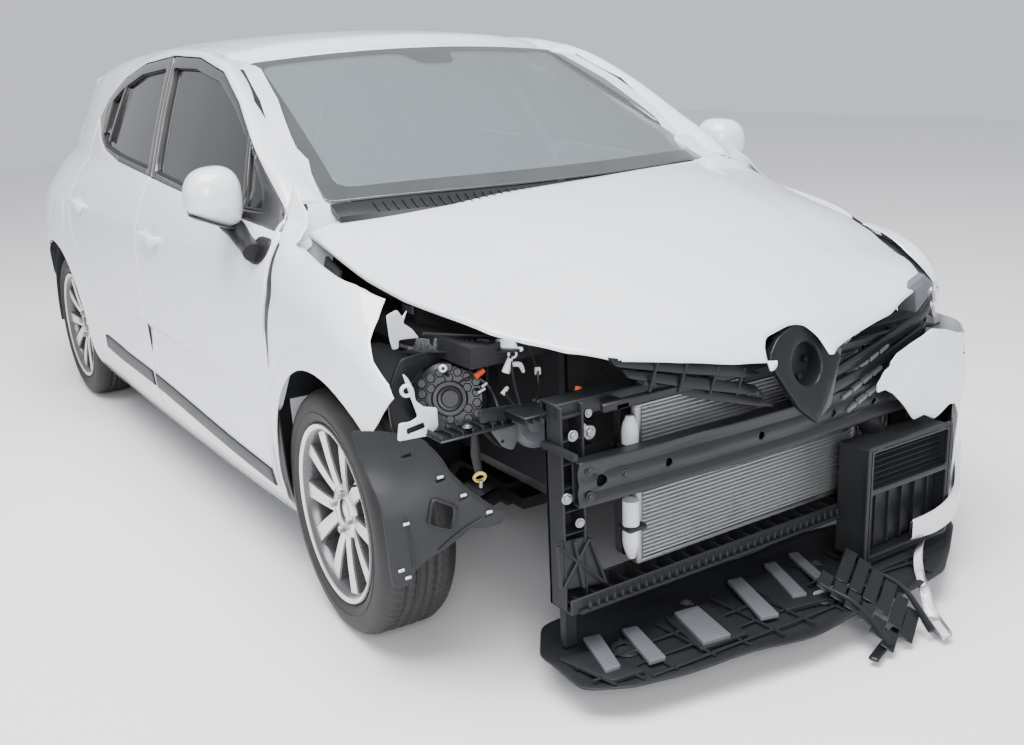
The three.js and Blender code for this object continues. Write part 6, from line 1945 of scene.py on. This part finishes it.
def dashboard():
    """The dashboard: a soft section swept across, hollowed for the instruments, with vents and a centre
    stack."""
    y = np.linspace(-692, 692, 75)
    section = rounded([[-388, 700], [-388, 902], [-440, 932], [-560, 946], [-650, 940], [-712, 908],
        [-738, 850], [-736, 790], [-690, 716], [-620, 690]], 26)
    rings = []
    for at in y:
        hood = 30 * math.exp(-(((at + 370) / 150) ** 4))
        bend = 46 * (abs(at) / 740) ** 2.4
        ring = section + xyz(bend * (section[:, 0] < -500), hood * (section[:, 1] > 880) * (section[:,
            0] < -470))
        rings.append(np.column_stack([ring[:, 0], np.full(len(ring), at), ring[:, 1]]))
    shell = capped(np.array(rings))
    stack = brick(-760, -600, -130, 130, 560, 900, 16)
    console = brick(-1180, -640, -105, 105, 300, 420, 20)
    vents = []
    for at in (-612, -92, 92, 612):
        vents += [brick(-748, -730, at - 52, at + 52, 838, 894, 6)] + [brick(-754, -744, at - 46, at + 46, z,
            z + 3, 1) for z in np.arange(846, 890, 9)]
    knobs = [moved(disc([[0.1, 4], [17, 4], [18, 2], [17, -14], [15, -16], [0.1, -16]], 28),
        facing((-1, 0, 0)), (-762, at, 640)) for at in (-70, 0, 70)]
    lever = gather(rod((-900, 0, 416), (-880, 0, 520), 8, 6), moved(cushion((52, 46, 60), square=0.8,
        rows=14), offset=(-878, 0, 536)))
    column = gather(rod((-640, -370, 770), (-790, -370, 845), 30, 27),
        tube([[-745, -400, 826], [-750, -520, 842]], [9, 7], 10, 4),
                    tube([[-745, -340, 826], [-750, -220, 842]], [9, 7], 10, 4))
    put("dashboard_shell", gather(shell, stack, console, *vents, *knobs, lever, column), MOULDED,
        replaces="dashboard", weld=0.01)
    dials = brick(-736, -728, -470, -270, 860, 920, 4)
    screen = brick(-764, -758, -100, 100, 745, 830, 3)
    put("dashboard_panels", gather(dials, screen), GLOSS_BLACK)


def steering_wheel():
    """The steering wheel: a rim thick at the thumbs, three spokes, and a plain boss."""
    angle = np.linspace(0, 2 * np.pi, 96, endpoint=False)
    around = np.linspace(0, 2 * np.pi, 16, endpoint=False)
    thumb = 1 + 0.16 * sum(np.exp(-(((a - 0.9) / 0.22) ** 2)) for a in (angle, 2 * np.pi - angle))
    r = 178 + 14 * thumb[:, None] * np.cos(around)
    rim_ring = grid(xyz(r * np.cos(angle)[:, None], r * np.sin(angle)[:, None],
        14 * thumb[:, None] * np.sin(around)), True, True)
    arms = []
    for start, end, wide in (((0, 40), (12, 172), 19), ((0, -40), (12, -172), 19), ((-44, 0), (-172, 0), 17)):
        a, b = np.array([*start, 4.0]), np.array([*end, -2.0])
        arms.append(tube([a, (a + b) / 2 + [0, 0, 3], b], [wide, wide * 0.7, wide * 0.8], 14, 8, 0.4))
    boss = cushion((128, 118, 46), square=0.6, rows=18)
    tilt = turn((0, 1, 0), -90 + math.degrees(0.464))
    piece = moved(gather(rim_ring, *arms, boss), tilt, (-812, -370, 856))
    put("steering_wheel_rim", piece, MOULDED, body="steering_wheel", replaces="steering_wheel", weld=0.01)


for side, tag in SIDES:
    front_seat(side, tag)
rear_seat()
dashboard()
steering_wheel()


# ---------------------------------------------------------------- engine bay and underside, kept from the CAD
def engine_details():
    """Over the engine block: a ribbed cover, hoses, the air box, battery and strut tops."""
    cover = brick(-150, 190, -300, 60, 742, 792, 16)
    ribs = [brick(-130, 170, y, y + 8, 790, 796, 2) for y in np.arange(-280, 40, 40)]
    box_air = brick(0, 230, 180, 330, 564, 720, 16)
    battery = brick(60, 250, 350, 398, 520, 700, 6)
    put("engine_cover", gather(cover, *ribs, box_air, battery), SMOOTH_BLACK)
    hoses = [tube([[235, -200, 640], [330, -190, 650], [420, -230, 600], [500, -250, 590]], [20] * 4, 14, 10),
             tube([[235, 60, 400], [330, 90, 330], [440, 100, 300], [500, 120, 300]], [19] * 4, 14, 10),
             tube([[190, 240, 640], [300, 230, 680], [420, 250, 640], [560, 330, 460], [580, 380, 380]],
             [28] * 5, 16, 10),
             tube([[-100, -320, 640], [0, -380, 660], [200, -390, 640], [420, -400, 560]], [8] * 4, 8, 8),
             tube([[-200, 100, 700], [-260, 200, 760], [-250, 380, 780]], [9] * 3, 8, 8)]
    put("engine_hoses", gather(*hoses), TRIM_BLACK)
    tops = []
    for side in (RIGHT, LEFT):
        tops.append(moved(disc([[0.1, 0], [64, 0], [66, -4], [62, -10], [34, -14], [28, -20], [0.1, -20]],
            40), facing((0, 0, 1)), (-8, side * 556, 819)))
        tops += [bolt((-8 + 48 * math.cos(a), side * 556 + 48 * math.sin(a), 829), (0, 0, 1),
            7) for a in (0.5, 2.6, 4.7)]
    put("strut_tops", gather(*tops), RAW_STEEL)


def springs():
    """Coil springs round the front struts, each riding its knuckle's body."""
    for side, tag in SIDES:
        low, high = KING_LOW * [1, side, 1], KING_TOP * [1, side, 1]
        axis = unit(high - low)
        across = unit(np.cross(axis, [1, 0, 0]))
        up = np.cross(across, axis)
        t = np.linspace(0, 1, 120)[:, None]
        turns = 2 * np.pi * 5.5 * t
        centre = low + (high - low) * (0.70 + 0.27 * t)
        path = centre + 70 * (np.cos(turns) * across + np.sin(turns) * up)
        put("front_spring_" + tag, tube(path, [6.5] * 120, 8, 1), DARK_STEEL, body="steer_" + tag)


engine_details()
springs()
WHEELBASE, AXLE_HEIGHT = 2583, 312


def wheel_well(side, tag, where, centre, first, last, radius, inner):
    """A black liner bent round above a wheel: arc length runs round the arch, the other way runs across the
    car."""
    around = lambda s, y, d: xyz(centre[0] + (radius + d) * np.cos(s / radius), side * y,
        centre[1] + (radius + d) * np.sin(s / radius))
    band = rectangle(math.radians(first) * radius, math.radians(last) * radius, inner, 838, 8)
    put(f"wheel_well_{where}_{tag}", plate([band], around, 0, 4, step=40, roll=1), MOULDED)


for side, tag in SIDES:
    wheel_well(side, tag, "rear", (-WHEELBASE, AXLE_HEIGHT), -8, 188, 354, 486)
    wheel_well(side, tag, "front", (0, AXLE_HEIGHT), 62 if side < 0 else 4, 148, 376, 664)


KEPT = {  # carried-over nodes and what covers them
    "floor_pan": UNDER_PAINT, "engine_bay": BAY_BLACK, "subframe_front": DARK_STEEL, "axle_rear": DARK_STEEL,
        "engine": RAW_STEEL,
    "exhaust": RAW_STEEL, "knuckle_right": RAW_STEEL, "knuckle_left": RAW_STEEL,
}
for name, look in KEPT.items():
    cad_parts[name].data.materials.clear()
    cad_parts[name].data.materials.append(look)


# ---------------------------------------------------------------- floor, light and camera
def look_from(place, yaw, pitch, roll, lens):
    """The camera at the photograph's viewpoint: turned by yaw, pitch and roll, in degrees."""
    yaw, pitch, roll = map(math.radians, (yaw, pitch, roll))
    ahead = np.array([math.cos(yaw) * math.cos(pitch), math.sin(yaw) * math.cos(pitch), math.sin(pitch)])
    right = unit(np.cross(ahead, [0, 0, 1]))
    up = np.cross(right, ahead)
    across = math.cos(roll) * right + math.sin(roll) * up
    upward = -math.sin(roll) * right + math.cos(roll) * up
    data = bpy.data.cameras.new("viewpoint")
    data.lens, data.sensor_width, data.clip_end = lens, 36.0, 100.0
    view = bpy.data.objects.new("viewpoint", data)
    turned = Matrix(np.column_stack([across, upward, -ahead]).tolist()).to_4x4()
    view.matrix_world = Matrix.Translation(Vector(place)) @ turned
    bpy.context.scene.collection.objects.link(view)
    bpy.context.scene.camera = view


def area_light(name, place, aim, size, power):
    data = bpy.data.lights.new(name, "AREA")
    data.shape, data.size, data.size_y, data.energy = "RECTANGLE", size[0], size[1], power
    lamp = bpy.data.objects.new(name, data)
    lamp.location = place
    lamp.rotation_euler = (Vector(aim) - Vector(place)).to_track_quat("-Z", "Y").to_euler()
    bpy.context.scene.collection.objects.link(lamp)


VIEWPOINT = (3.42674, -1.81670, 1.35554)  # metres
VIEW_YAW, VIEW_PITCH, VIEW_ROLL, VIEW_LENS = 147.0638, -16.2385, -2.5090, 39.130
look_from(VIEWPOINT, VIEW_YAW, VIEW_PITCH, VIEW_ROLL, VIEW_LENS)

FLOOR_HALF, FLOOR_LEVEL = 14, -0.0005
floor_mesh = bpy.data.meshes.new("studio_floor")
floor_mesh.from_pydata([(x * FLOOR_HALF, y * FLOOR_HALF, FLOOR_LEVEL) for x,
    y in ((-1, -1), (1, -1), (1, 1), (-1, 1))], [], [(0, 1, 2, 3)])
floor = bpy.data.objects.new("studio_floor", floor_mesh)
bpy.context.scene.collection.objects.link(floor)
floor_look, _, floor_feed = material("pale_floor")
floor_feed(Base_Color=(0.86, 0.86, 0.87), Roughness=0.85)
floor_mesh.materials.append(floor_look)

SKY_COLOUR, SKY_STRENGTH = (0.93, 0.95, 1.0, 1), 0.80
OVERHEAD_WATTS, FILL_WATTS = 840, 270
world = bpy.data.worlds.new("studio")
bpy.context.scene.world = world
world.use_nodes = True
for index, value in enumerate((SKY_COLOUR, SKY_STRENGTH)):
    world.node_tree.nodes["Background"].inputs[index].default_value = value
area_light("overhead", (1.5, -1.5, 6.0), (0, 0, 0.5), (5, 4), OVERHEAD_WATTS)
area_light("front_fill", (6.5, -3.0, 3.0), (1.2, 0, 0.5), (3, 2.5), FILL_WATTS)
